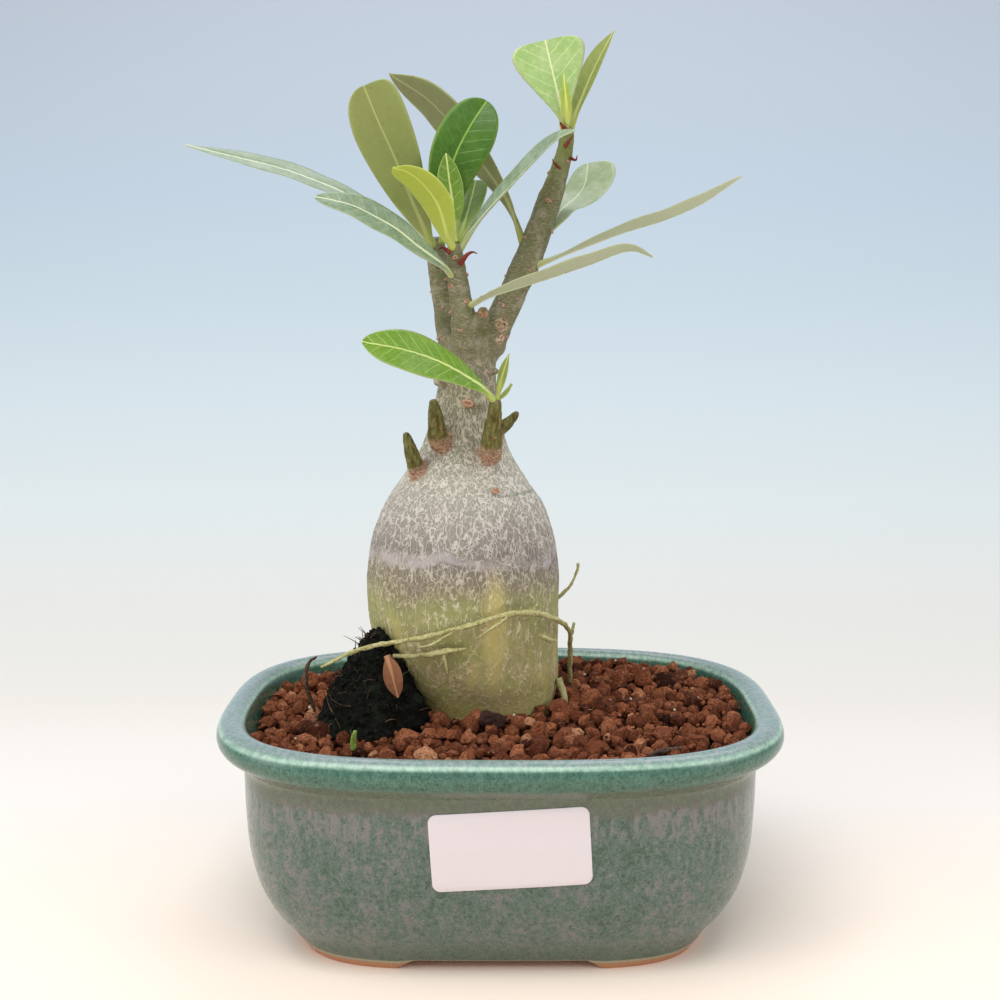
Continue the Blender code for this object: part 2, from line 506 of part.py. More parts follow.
def make_grain(name, at, size, turn, seed, mat):
    bm = bmesh.new()
    bmesh.ops.create_icosphere(bm, subdivisions=2, radius=1.0)
    c, s = math.cos(turn), math.sin(turn)
    for v in bm.verts:
        x, y, z = v.co
        k = 1 + 0.16 * math.sin(3.1 * x + 1.7 * seed) * math.cos(2.7 * y - seed) + 0.08 * math.sin(5.3 * z + seed)
        x, y, z = x * k * size[0] / 2, y * k * size[1] / 2, max(z * k, -0.72) * size[2] / 2
        v.co = (Vector((c * x - s * y, s * x + c * y, z)) + Vector(at) + Vector((X0, Y0, 0))) * 0.001
    return finish(name, bm, mat)


def on_soil(x, y, height, extra=0.0):
    """Centre height of a grain resting on the highest soil under it."""
    return soil_z(x, y) + GAP + 0.36 * height + extra


make_pot()
make_screen("drain_screen_left", -DRAIN_X)
make_screen("drain_screen_right", DRAIN_X)
make_label()
make_soil()
make_plant()
for key, row in LEAVES.items():
    make_leaf(key, row, 7 if row["w"] < 2 else 10)
tube("root_long", ROOTS["root_long"], 8, 26, "root")
tube("root_short", ROOTS["root_short"], 8, 8, "root")
tube("root_tendril", ROOTS["root_tendril"], 6, 7, "root")
tube("root_curl_dark", ROOTS["root_curl_dark"], 6, 7, "dry")
make_peat()
make_grain("dark_granule", (-2.6, -15.0, on_soil(-2.6, -15.0, 5.0, 0.5)), (9.4, 6.2, 5.0), 0.10, 1.0, "stone")
make_grain("large_granule", (-56.5, 23.0, on_soil(-56.5, 23.0, 6.0, 0.6)), (7.0, 6.4, 6.0), 0.6, 2.0, "soil")
tube("twig", [(38.6, -39.4, soil_z(38.6, -39.4) + 1.6, 0.7), (42.2, -37.6, soil_z(42.2, -37.6) + 1.6, 0.8),
              (46.4, -36.2, soil_z(46.4, -36.2) + 1.8, 0.6)], 6, 5, "dry")
tube("green_sprout", [(-38.9, -27.4, soil_z(-38.9, -27.4) + 0.8, 0.8), (-38.8, -27.6, soil_z(-38.8, -27.6) + 3.0, 0.75),
                      (-38.4, -27.9, soil_z(-38.4, -27.9) + 5.0, 0.6)], 8, 4, "leaf")
DRY = dict(mid=[(-30.2, -19.6, 77.0), (-29.0, -21.4, 73.6), (-28.0, -22.4, 69.6), (-27.2, -22.8, 66.4)],
           w=2.6, wide=0.5, blunt=0.8, n0=(-0.2, -0.9, 0.2), n1=(-0.1, -0.95, 0.1))
make_leaf("dry_leaf_scrap", DRY, 7)
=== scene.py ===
"""Looks for the potted desert rose: glaze, soil grains, bark, leaves, roots, and a studio."""
import math

import bmesh
import bpy
import numpy as np
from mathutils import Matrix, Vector, noise


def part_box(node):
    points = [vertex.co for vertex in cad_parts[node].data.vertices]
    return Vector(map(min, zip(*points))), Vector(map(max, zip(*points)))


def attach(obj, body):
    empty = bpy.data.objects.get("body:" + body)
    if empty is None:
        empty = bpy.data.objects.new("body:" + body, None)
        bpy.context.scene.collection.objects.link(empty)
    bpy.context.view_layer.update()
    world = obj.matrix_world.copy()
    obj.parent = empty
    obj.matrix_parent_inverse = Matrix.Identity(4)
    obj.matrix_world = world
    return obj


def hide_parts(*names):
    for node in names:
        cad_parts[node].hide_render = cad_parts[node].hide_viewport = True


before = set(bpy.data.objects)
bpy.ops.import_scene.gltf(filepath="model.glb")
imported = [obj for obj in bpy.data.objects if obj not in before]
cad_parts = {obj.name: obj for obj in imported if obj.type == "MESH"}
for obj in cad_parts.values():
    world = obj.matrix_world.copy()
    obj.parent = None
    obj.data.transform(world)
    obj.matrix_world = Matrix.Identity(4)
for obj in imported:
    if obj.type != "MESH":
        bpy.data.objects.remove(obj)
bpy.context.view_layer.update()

X0, Y0 = 3.18, 0.0          # pot centre in the row frame, mm
MM = 0.001

# ------------------------------------------------------------------ design, mm
OUTER = [(54.2, 44.6, 0.0), (55.8, 45.8, 2.4), (59.0, 47.8, 6.9),
         (62.4, 50.6, 11.0), (66.0, 53.6, 18.0), (68.4, 55.6, 27.0),
         (69.5, 56.5, 37.0), (69.9, 56.8, 45.0), (70.2, 56.9, 49.2),
         (72.8, 58.4, 51.2), (75.9, 60.3, 53.4), (77.2, 61.1, 55.8),
         (76.6, 60.5, 58.6), (74.8, 58.9, 60.0)]
INNER = [(72.2, 56.6, 60.2), (70.2, 54.8, 59.0), (69.2, 53.9, 56.4),
         (67.2, 52.6, 48.0), (64.8, 50.8, 32.0), (61.0, 47.4, 18.0),
         (55.0, 41.6, 9.4), (48.0, 35.0, 6.5)]
CAUDEX = [(-6.0, 12.5, 5.0, 24.0), (-6.0, 12.5, 12.0, 28.0),
          (-5.6, 12.5, 17.0, 38.0), (-5.2, 12.5, 19.6, 48.0),
          (-5.4, 12.6, 21.2, 56.5), (-7.6, 12.4, 24.6, 66.0),
          (-9.8, 12.2, 26.6, 75.0), (-10.6, 12.0, 27.5, 86.0),
          (-10.6, 12.0, 27.4, 95.0), (-10.5, 12.0, 25.8, 105.5),
          (-10.4, 12.0, 22.2, 114.5), (-10.4, 12.0, 17.4, 121.5),
          (-10.2, 12.0, 13.2, 128.0), (-10.0, 12.0, 10.6, 135.0),
          (-9.6, 12.0, 9.0, 142.0), (-9.2, 12.0, 8.0, 149.0),
          (-8.4, 12.0, 7.4, 155.0), (-7.6, 12.0, 6.4, 160.0)]
STEMS = {
    "branch_rear_left": [(-9.0, 13.0, 150.0, 3.4), (-11.4, 15.0, 155.0, 4.2),
                         (-14.0, 17.0, 161.0, 3.9), (-15.8, 18.4, 170.0, 3.3),
                         (-17.2, 19.0, 179.0, 3.1), (-18.4, 19.0, 187.4, 2.7)],
    "branch_front": [(-8.0, 11.0, 151.0, 3.2), (-9.0, 7.8, 157.0, 3.9),
                     (-9.6, 5.7, 163.0, 3.8), (-10.6, 4.9, 170.0, 3.3),
                     (-11.6, 4.4, 177.5, 2.7), (-12.5, 4.0, 185.6, 2.1)],
    "branch_right": [(-7.4, 12.0, 151.0, 3.6), (-4.6, 12.0, 157.0, 4.7),
                     (-1.2, 12.0, 163.0, 4.2), (3.0, 12.0, 172.0, 3.9),
                     (8.4, 12.0, 184.0, 3.9), (12.4, 12.0, 195.0, 3.5),
                     (15.6, 12.0, 204.0, 2.9), (17.8, 12.0, 212.0, 2.3),
                     (18.7, 12.0, 217.6, 1.8)],
    "stub_fork": [(-5.6, 9.0, 161.0, 2.4), (-4.9, 4.6, 166.0, 1.9),
                  (-4.6, 2.2, 168.4, 1.5)],
    "shoot_left": [(-21.6, 5.0, 122.0, 2.4), (-23.1, 2.2, 124.8, 2.5), (-24.2, 0.4, 128.8, 2.1),
                   (-25.1, -0.5, 132.2, 1.6), (-25.8, -1.0, 135.0, 0.9)],
    "shoot_centre": [(-16.0, 5.0, 130.5, 2.6), (-17.0, 0.9, 133.4, 2.9), (-17.4, -1.0, 137.5, 2.4),
                     (-17.9, -2.4, 141.6, 1.8), (-18.2, -2.9, 144.0, 1.2)],
    "shoot_right": [(-3.4, 2.4, 127.0, 3.0), (-2.5, -2.2, 130.6, 3.2),
                    (-1.9, -5.0, 137.0, 2.4), (-1.2, -7.2, 144.2, 1.7)],
    "shoot_rear": [(-2.4, 9.0, 133.6, 1.9), (0.8, 8.0, 135.9, 1.9),
                   (3.2, 7.6, 138.0, 1.4), (4.8, 7.4, 140.0, 0.9)],
}
LEAVES = {
    "leaf_rear_large": dict(mid=[(-19.0, 17.0, 186.0), (-24.4, 12.5, 198.5), (-28.6, 7.0, 209.5), (-33.0, 2.0, 219.6), (-36.2, -2.0, 227.8)],
                           w=10.6, wide=0.66, blunt=0.42, sides=(0.78, 0.74), wides=(0.82, 0.70), blunts=(0.18, 0.42), n0=(-0.25, 0.90, 0.36), n1=(-0.15, 0.86, 0.48), look="olive"),
    "leaf_rear_crossing": dict(mid=[(6.6, 12.4, 186.5), (1.6, 14.0, 199.6), (-8.6, 18.0, 213.6), (-19.0, 21.0, 226.0), (-31.3, 24.0, 234.4)],
                              w=8.0, wide=0.66, blunt=0.75, sides=(0.78, 0.80), blunts=(1.05, 0.75), n0=(0.60, 0.72, 0.34), n1=(0.42, 0.74, 0.52), look="olive_brown"),
    "leaf_dark_glossy": dict(mid=[(-15.6, 12.0, 187.0), (-14.9, 8.6, 199.0), (-12.8, 7.4, 208.8), (-8.6, 8.6, 217.6), (-3.6, 11.0, 225.4)],
                             w=9.2, wide=0.70, blunt=0.50, sides=(0.80, 0.90), n0=(0.05, -0.96, 0.20), n1=(0.10, -0.94, 0.32), look="dark"),
    "leaf_young_yellow": dict(mid=[(-12.9, 3.0, 185.0), (-14.4, 1.0, 189.9), (-16.6, -2.0, 196.9), (-20.2, -5.4, 201.9), (-24.2, -8.0, 204.9), (-28.0, -10.0, 205.9)],
                             w=5.5, wide=0.62, blunt=0.55, sides=(0.85, 1.00), wides=(0.56, 0.62), blunts=(1.00, 0.45), n0=(0.35, 0.80, 0.48), n1=(0.25, 0.72, 0.64), look="yellow"),
    "leaf_young_upright": dict(mid=[(-12.5, 3.8, 187.0), (-12.9, 3.4, 197.0), (-13.8, 3.0, 204.0), (-14.6, 2.6, 210.6)],
                              w=3.5, wide=0.60, blunt=0.85, n0=(0.10, -0.98, 0.10), n1=(0.10, -0.98, 0.15), look="bright"),
    "leaf_rear_right_short": dict(mid=[(-11.4, 6.0, 186.6), (-9.6, 10.6, 193.0), (-8.0, 14.4, 199.2), (-6.8, 17.0, 204.4)],
                                 w=4.2, wide=0.80, blunt=0.20, n0=(-0.30, -0.80, 0.50), n1=(-0.25, -0.80, 0.55), look="green"),
    "leaf_narrow_folded": dict(mid=[(-11.4, 4.4, 184.8), (-5.2, 3.4, 193.2), (1.9, 2.6, 200.9), (9.2, 2.2, 208.5), (15.1, 1.8, 214.0), (20.2, 1.6, 216.5)],
                              w=5.0, wide=0.64, blunt=0.50, fold=0.22, n0=(-0.72, -0.30, 0.62), n1=(-0.50, -0.34, 0.80), look="grey"),
    "leaf_long_left": dict(mid=[(-17.2, 16.6, 181.2), (-19.3, 13.0, 184.8), (-21.9, 11.2, 187.8), (-26.4, 9.8, 192.1), (-33.3, 8.4, 195.5), (-40.0, 7.0, 199.0), (-46.6, 5.2, 202.1), (-58.6, 1.8, 206.4), (-73.0, -1.6, 209.8), (-83.7, -3.6, 212.2)],
                          w=5.2, wide=0.62, blunt=1.00, n0=(0.42, -0.42, 0.80), n1=(0.15, -0.45, 0.88), look="grey"),
    "leaf_lower_left": dict(mid=[(-12.2, 3.8, 177.2), (-16.8, -0.8, 181.8), (-22.4, -3.2, 186.0), (-27.3, -4.6, 190.0), (-32.2, -5.2, 192.9), (-38.8, -5.4, 196.2), (-44.7, -5.2, 197.8), (-49.4, -4.6, 198.6)],
                           w=5.3, wide=0.60, blunt=0.60, n0=(0.42, -0.55, 0.72), n1=(0.15, -0.66, 0.74), look="grey"),
    "leaf_right_upper": dict(mid=[(9.6, 10.8, 180.9), (20.6, 6.5, 184.9), (32.7, 3.0, 189.4), (44.6, 0.4, 193.0), (53.7, -1.6, 196.9), (59.3, -3.0, 200.5), (64.4, -4.0, 204.1)],
                            w=6.0, wide=0.64, blunt=0.85, fold=0.24, n0=(-0.30, 0.14, 0.94), n1=(-0.38, 0.16, 0.90), look="beige"),
    "leaf_right_lower": dict(mid=[(-9.2, 4.2, 169.6), (-2.2, -1.0, 172.6), (12.0, -7.5, 177.0), (23.7, -11.5, 180.9), (33.5, -14.0, 184.3), (39.9, -15.5, 182.6)],
                            w=6.0, wide=0.62, blunt=0.62, fold=0.22, n0=(-0.20, 0.14, 0.96), n1=(0.05, 0.12, 0.98), look="beige"),
    "leaf_behind_right": dict(mid=[(12.4, 13.4, 188.6), (15.7, 16.0, 193.7), (17.4, 18.0, 196.5), (21.7, 22.5, 200.2), (24.3, 26.5, 204.1), (25.4, 31.0, 210.1)],
                             w=9.6, wide=0.66, blunt=0.40, sides=(0.62, 1.00), wides=(0.64, 0.76), blunts=(0.40, 0.30), n0=(-0.50, -0.62, 0.60), n1=(-0.42, -0.72, 0.55), look="pale"),
    "leaf_top_fan": dict(mid=[(18.0, 11.6, 216.6), (16.4, 9.4, 224.4), (14.2, 8.4, 233.0), (12.2, 8.2, 241.0)],
                         w=10.4, wide=0.86, blunt=0.26, n0=(0.10, -0.93, 0.34), n1=(0.10, -0.88, 0.46), look="fan"),
    "leaf_top_lance": dict(mid=[(19.0, 12.4, 216.6), (22.6, 13.4, 226.6), (26.6, 14.4, 235.8), (31.4, 15.0, 244.6)],
                           w=4.4, wide=0.58, blunt=1.00, sides=(0.95, 0.45), n0=(-0.55, -0.80, 0.22), n1=(-0.62, -0.72, 0.30), look="lance"),
    "leaf_bud_spear": dict(mid=[(18.6, 9.6, 218.6), (18.0, 8.2, 224.6), (17.2, 7.2, 232.0)],
                           w=1.5, wide=0.40, blunt=1.20, n0=(0.10, -0.98, 0.10), n1=(0.10, -0.98, 0.10), look="yellow"),
    "leaf_neck": dict(mid=[(-1.4, -7.0, 144.4), (-6.4, -10.6, 149.6), (-15.5, -14.8, 155.2), (-25.1, -17.8, 158.7), (-35.9, -20.0, 160.8)],
                      w=8.0, wide=0.66, blunt=0.66, sides=(1.12, 0.95), n0=(0.35, -0.55, 0.75), n1=(0.15, -0.62, 0.76), look="bright"),
    "leaf_shoot_upright": dict(mid=[(-0.8, -7.6, 144.6), (0.6, -8.8, 150.8), (2.4, -9.8, 157.2)],
                               w=1.6, wide=0.55, blunt=1.10, n0=(-0.60, -0.78, 0.15), n1=(-0.60, -0.78, 0.15), look="lance"),
    "leaf_shoot_small": dict(mid=[(-1.0, -6.8, 144.4), (1.6, -6.6, 146.6), (3.2, -6.4, 149.0)],
                             w=0.9, wide=0.50, blunt=1.10, n0=(-0.40, -0.60, 0.60), n1=(-0.40, -0.60, 0.60), look="lance"),
}
DRY = dict(mid=[(-30.2, -19.6, 77.0), (-29.0, -21.4, 73.6), (-28.0, -22.4, 69.6), (-27.2, -22.8, 66.4)],
           w=2.6, wide=0.5, blunt=0.8, n0=(-0.2, -0.9, 0.2), n1=(-0.1, -0.95, 0.1), look="dry")
ROOTS = {
    "root_long": [(20.8, 21.4, 58.6, 0.7), (20.6, 18.0, 64.5, 0.9), (20.4, 14.0, 71.2, 0.9),
                  (19.8, 7.0, 77.6, 0.85), (16.2, -4.4, 83.2, 0.9), (9.2, -12.6, 87.2, 1.15),
                  (1.6, -16.2, 87.4, 0.95), (-7.4, -18.0, 85.2, 0.9), (-16.4, -17.6, 82.6, 0.9),
                  (-25.6, -16.6, 80.4, 0.8), (-33.4, -15.6, 79.0, 0.75), (-41.0, -14.8, 76.4, 0.65),
                  (-48.4, -14.0, 72.6, 0.45)],
    "root_short": [(-29.0, -13.4, 75.4, 0.7), (-22.4, -15.4, 76.0, 0.8), (-15.6, -17.0, 77.4, 1.1),
                   (-9.2, -17.3, 78.4, 0.5)],
    "root_tendril": [(16.2, 12.4, 85.6, 0.7), (20.0, 11.6, 89.6, 0.5), (21.8, 11.0, 93.4, 0.45),
                     (22.3, 10.6, 96.2, 0.55)],
    "root_curl_dark": [(-51.6, -7.0, 58.0, 0.6), (-53.6, -7.4, 66.0, 0.7), (-53.2, -7.0, 71.4, 0.6),
                       (-51.0, -6.2, 73.4, 0.4)],
}


# ------------------------------------------------------------------ small tools
def unit(v):
    v = np.array(v, float)
    return v / np.linalg.norm(v)


def curve(rows, samples):
    a = np.array(rows, float)
    knots = np.concatenate([[0], np.cumsum(np.linalg.norm(np.diff(a[:, :3], axis=0), axis=1))])
    ext = np.vstack([2 * a[0] - a[1], a, 2 * a[-1] - a[-2]])
    out = []
    for d in np.linspace(0, knots[-1], samples):
        i = min(int(np.searchsorted(knots, d, side="right")) - 1, len(a) - 2)
        u = (d - knots[i]) / (knots[i + 1] - knots[i])
        p0, p1, p2, p3 = ext[i:i + 4]
        out.append(0.5 * (2 * p1 + (p2 - p0) * u + (2 * p0 - 5 * p1 + 4 * p2 - p3) * u * u
                          + (3 * p1 - p0 - 3 * p2 + p3) * u ** 3))
    return np.array(out)


def smooth(e0, e1, x):
    t = np.clip((np.asarray(x, float) - e0) / (e1 - e0), 0, 1)
    return t * t * (3 - 2 * t)


def new_object(name, verts_mm, faces, mat, smooth_shade=True, shift=True):
    """verts in pot millimetres; faces index lists."""
    v = np.array(verts_mm, float)
    if shift:
        v = v + np.array([X0, Y0, 0.0])
    mesh = bpy.data.meshes.new(name)
    mesh.from_pydata((v * MM).tolist(), [], faces)
    mesh.update()
    obj = bpy.data.objects.new(name, mesh)
    bpy.context.scene.collection.objects.link(obj)
    if mat is not None:
        mesh.materials.append(mat)
    if smooth_shade:
        mesh.shade_smooth()
    return obj


def loft_faces(n_rings, n, close=(True, True)):
    faces = []
    for r in range(n_rings - 1):
        for i in range(n):
            j = (i + 1) % n
            faces.append((r * n + i, r * n + j, (r + 1) * n + j, (r + 1) * n + i))
    if close[0]:
        faces.append(tuple(range(n))[::-1])
    if close[1]:
        faces.append(tuple((n_rings - 1) * n + i for i in range(n)))
    return faces


def outward(obj):
    bm = bmesh.new()
    bm.from_mesh(obj.data)
    bmesh.ops.recalc_face_normals(bm, faces=bm.faces)
    bm.to_mesh(obj.data)
    bm.free()
    return obj


def attribute(mesh, name, values, domain="POINT"):
    a = mesh.attributes.new(name, "FLOAT", domain)
    a.data.foreach_set("value", np.asarray(values, np.float32))


def apply_modifiers(obj):
    dg = bpy.context.evaluated_depsgraph_get()
    mesh = bpy.data.meshes.new_from_object(obj.evaluated_get(dg), preserve_all_data_layers=True, depsgraph=dg)
    old = obj.data
    obj.modifiers.clear()
    obj.data = mesh
    bpy.data.meshes.remove(old)
    return obj


def place(obj, slot, *nodes):
    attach(obj, "root")
    if nodes:
        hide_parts(*nodes)
    return obj


# ------------------------------------------------------------------ node helpers
class Mat:
    """Builds a node material with short calls; every value is in object space millimetres."""

    def __init__(self, name, rough=0.5, spec=0.5):
        self.m = bpy.data.materials.new(name)
        self.m.use_nodes = True
        self.t = self.m.node_tree
        self.n, self.l = self.t.nodes, self.t.links
        self.shader = self.n["Principled BSDF"]
        self.shader.inputs["Roughness"].default_value = rough
        self.shader.inputs["Specular IOR Level"].default_value = spec
        coord = self.n.new("ShaderNodeTexCoord")
        scale = self.n.new("ShaderNodeVectorMath")
        scale.operation = "SCALE"
        scale.inputs["Scale"].default_value = 1000.0
        self.l.new(coord.outputs["Object"], scale.inputs[0])
        self.mm = scale.outputs[0]

    def stretch(self, x, y, z, src=None):
        v = self.n.new("ShaderNodeVectorMath")
        v.operation = "MULTIPLY"
        self.l.new(src or self.mm, v.inputs[0])
        v.inputs[1].default_value = (x, y, z)
        return v.outputs[0]

    def warp(self, src, size, amount, seed=0.0):
        """Pushes coordinates about by noise, so patterns don't look ruled."""
        nz = self.n.new("ShaderNodeTexNoise")
        nz.inputs["Scale"].default_value = 1.0 / size
        nz.inputs["Detail"].default_value = 2.0
        off = self.n.new("ShaderNodeVectorMath")
        off.operation = "ADD"
        off.inputs[1].default_value = (seed, seed * 0.7, -seed)
        self.l.new(src, off.inputs[0])
        self.l.new(off.outputs[0], nz.inputs["Vector"])
        sub = self.n.new("ShaderNodeVectorMath")
        sub.operation = "SUBTRACT"
        self.l.new(nz.outputs["Color"], sub.inputs[0])
        sub.inputs[1].default_value = (0.5, 0.5, 0.5)
        mul = self.n.new("ShaderNodeVectorMath")
        mul.operation = "SCALE"
        mul.inputs["Scale"].default_value = amount
        self.l.new(sub.outputs[0], mul.inputs[0])
        add = self.n.new("ShaderNodeVectorMath")
        add.operation = "ADD"
        self.l.new(src, add.inputs[0])
        self.l.new(mul.outputs[0], add.inputs[1])
        return add.outputs[0]

    def noise(self, size, detail=3.0, rough=0.55, src=None, seed=0.0):
        nz = self.n.new("ShaderNodeTexNoise")
        nz.inputs["Scale"].default_value = 1.0 / size
        nz.inputs["Detail"].default_value = detail
        nz.inputs["Roughness"].default_value = rough
        v = self.n.new("ShaderNodeVectorMath")
        v.operation = "ADD"
        v.inputs[1].default_value = (seed * 3.1, seed * 1.7, seed * 2.3)
        self.l.new(src or self.mm, v.inputs[0])
        self.l.new(v.outputs[0], nz.inputs["Vector"])
        return nz.outputs["Fac"]

    def voronoi(self, size, feature="DISTANCE_TO_EDGE", src=None, out="Distance", rnd=1.0):
        vr = self.n.new("ShaderNodeTexVoronoi")
        vr.feature = feature
        vr.inputs["Scale"].default_value = 1.0 / size
        vr.inputs["Randomness"].default_value = rnd
        self.l.new(src or self.mm, vr.inputs["Vector"])
        return vr.outputs[out]

    def ramp(self, fac, *stops):
        """stops: (position, value or colour)."""
        r = self.n.new("ShaderNodeValToRGB")
        self.l.new(fac, r.inputs["Fac"])
        e = r.color_ramp.elements
        while len(e) < len(stops):
            e.new(0.5)
        for k, (pos, val) in enumerate(stops):
            e[k].position = pos
            e[k].color = (val, val, val, 1) if isinstance(val, (int, float)) else tuple(val) + (1,)
        return r.outputs["Color"]

    def mix(self, fac, a, b, mode="MIX"):
        x = self.n.new("ShaderNodeMix")
        x.data_type = "RGBA"
        x.blend_type = mode
        x.clamp_factor = True
        for sock, val in ((x.inputs[0], fac), (x.inputs[6], a), (x.inputs[7], b)):
            if isinstance(val, bpy.types.NodeSocket):
                self.l.new(val, sock)
            elif isinstance(val, (int, float)):
                sock.default_value = val
            else:
                sock.default_value = tuple(val) + (1,)
        return x.outputs[2]

    def math(self, op, a, b=None, c=None, clamp=False):
        x = self.n.new("ShaderNodeMath")
        x.operation = op
        x.use_clamp = clamp
        for sock, val in zip(x.inputs, (a, b, c)):
            if val is None:
                continue
            if isinstance(val, bpy.types.NodeSocket):
                self.l.new(val, sock)
            else:
                sock.default_value = val
        return x.outputs[0]

    def step(self, value, lo, hi):
        x = self.n.new("ShaderNodeMapRange")
        x.interpolation_type = "SMOOTHSTEP"
        self.l.new(value, x.inputs["Value"])
        x.inputs["From Min"].default_value = lo
        x.inputs["From Max"].default_value = hi
        return x.outputs["Result"]

    def attr(self, name):
        a = self.n.new("ShaderNodeAttribute")
        a.attribute_name = name
        return a.outputs["Fac"]

    def xyz(self, axis):
        s = self.n.new("ShaderNodeSeparateXYZ")
        self.l.new(self.mm, s.inputs[0])
        return s.outputs["XYZ".index(axis)]

    def normal_z(self):
        g = self.n.new("ShaderNodeNewGeometry")
        s = self.n.new("ShaderNodeSeparateXYZ")
        self.l.new(g.outputs["Normal"], s.inputs[0])
        return s.outputs[2]

    def bump(self, height, dist_mm, strength=1.0, normal=None):
        b = self.n.new("ShaderNodeBump")
        b.inputs["Strength"].default_value = strength
        b.inputs["Distance"].default_value = dist_mm * MM
        self.l.new(height, b.inputs["Height"])
        if normal is not None:
            self.l.new(normal, b.inputs["Normal"])
        return b.outputs["Normal"]

    def done(self, colour=None, rough=None, normal=None):
        for sock, val in (("Base Color", colour), ("Roughness", rough), ("Normal", normal)):
            if val is not None:
                if isinstance(val, bpy.types.NodeSocket):
                    self.l.new(val, self.shader.inputs[sock])
                else:
                    self.shader.inputs[sock].default_value = val
        return self.m


def rgb(r, g, b):
    """8-bit display colour to linear."""
    return tuple(((c / 255) / 12.92 if c / 255 <= 0.04045 else ((c / 255 + 0.055) / 1.055) ** 2.4) for c in (r, g, b))


# ------------------------------------------------------------------ camera, light, stage
# painted light falloff: display colours of the paper by distance back, millimetres; the one-colour paper is drawn warm
# white at the front and darker, bluer further back
SWEEP_FALLOFF_TONES = [((y + 100.0) / 1400.0, rgb(*c)) for y, c in (
    (-60, (255, 238, 223)), (0, (252, 238, 225)), (84, (241, 234, 228)), (210, (227, 222, 215)), (300, (223, 221, 215)),
    (385, (221, 220, 216)), (545, (213, 220, 220)), (688, (204, 215, 220)), (822, (194, 208, 216)),
    (953, (188, 202, 214)), (1083, (187, 199, 211)), (1210, (188, 197, 209)))]


def studio():
    cam = bpy.data.cameras.new("camera")
    cam.lens = 54.0
    cam.sensor_width = 36.0
    cam.clip_start = 0.01
    cam.dof.use_dof = False
    obj = bpy.data.objects.new("camera", cam)
    bpy.context.scene.collection.objects.link(obj)
    obj.location = (X0 * MM, -0.4115, 0.1757)
    obj.rotation_euler = (math.radians(90 - 8.2), 0, 0)
    bpy.context.scene.camera = obj

    # seamless paper sweep: flat floor that rises slowly into a wall
    prof = [(-2.6, 0.0), (0.28, 0.0)] + [(0.28 + 0.02 * k, 0.55 * (0.02 * k) ** 2) for k in range(1, 76)] + [(1.86, 1.5), (1.9, 2.4)]
    verts, faces = [], []
    for y, z in prof:
        verts += [(-3.0, y, z), (3.0, y, z)]
    for k in range(len(prof) - 1):
        faces.append((2 * k, 2 * k + 1, 2 * k + 3, 2 * k + 2))
    mesh = bpy.data.meshes.new("sweep")
    mesh.from_pydata(verts, [], faces)
    mesh.shade_smooth()
    floor = bpy.data.objects.new("sweep", mesh)
    bpy.context.scene.collection.objects.link(floor)
    m = Mat("sweep_paper", rough=0.8, spec=0.1)
    # the paper's gradient is painted light falloff, not a change in the paper itself
    col = m.ramp(m.math("DIVIDE", m.math("ADD", m.xyz("Y"), 100.0), 1400.0), *SWEEP_FALLOFF_TONES)
    grain = m.noise(3.0, 4.0)
    col = m.mix(0.02, col, grain, "MULTIPLY")
    mesh.materials.append(m.done(col))

    world = bpy.data.worlds.new("studio")
    world.use_nodes = True
    world.node_tree.nodes["Background"].inputs[0].default_value = (0.93, 0.96, 1.0, 1)
    world.node_tree.nodes["Background"].inputs[1].default_value = 0.60
    bpy.context.scene.world = world
    bpy.context.scene.view_settings.view_transform = "Standard"

    def area(name, loc, aim, size, power, colour=(1, 1, 1)):
        d = bpy.data.lights.new(name, "AREA")
        d.shape = "RECTANGLE"
        d.size, d.size_y = size
        d.energy = power
        d.color = colour
        o = bpy.data.objects.new(name, d)
        bpy.context.scene.collection.objects.link(o)
        o.location = loc
        o.rotation_euler = (Vector(aim) - Vector(loc)).to_track_quat("-Z", "Y").to_euler()
    area("key_top", (-0.25, -0.55, 1.25), (0, 0, 0.10), (1.1, 0.8), 10.5, (1.0, 0.99, 0.97))
    area("fill_right", (1.2, -0.5, 0.7), (0, 0, 0.12), (0.8, 0.9), 4.6, (0.97, 0.98, 1.0))
    area("fill_left", (-1.2, -0.4, 0.6), (0, 0, 0.12), (0.8, 0.9), 4.6)
    area("back_wash", (0.2, 0.9, 1.3), (0, 0.2, 0.1), (1.2, 0.6), 4.0)


# ------------------------------------------------------------------ pot
def plan_power(z):
    """Superellipse exponent of the pot's plan at a height: squarer at the foot."""
    return 4.0 - 0.9 * min(max((z - 8.0) / 44.0, 0.0), 1.0)


def outline(a, b, n, z):
    power = plan_power(z)
    t = 2 * np.pi * (np.arange(n) + 0.5) / n
    c, s = np.cos(t), np.sin(t)
    return np.stack([a * np.sign(c) * np.abs(c) ** (2 / power), b * np.sign(s) * np.abs(s) ** (2 / power)], 1)


def arch(x, y):
    """Height of the pot's underside: zero on the corner feet, arched between them."""
    ax = smooth(22.0, 27.5, np.abs(x))
    ay = smooth(13.5, 19.0, np.abs(y))
    return 2.4 * (1 - ax * ay)


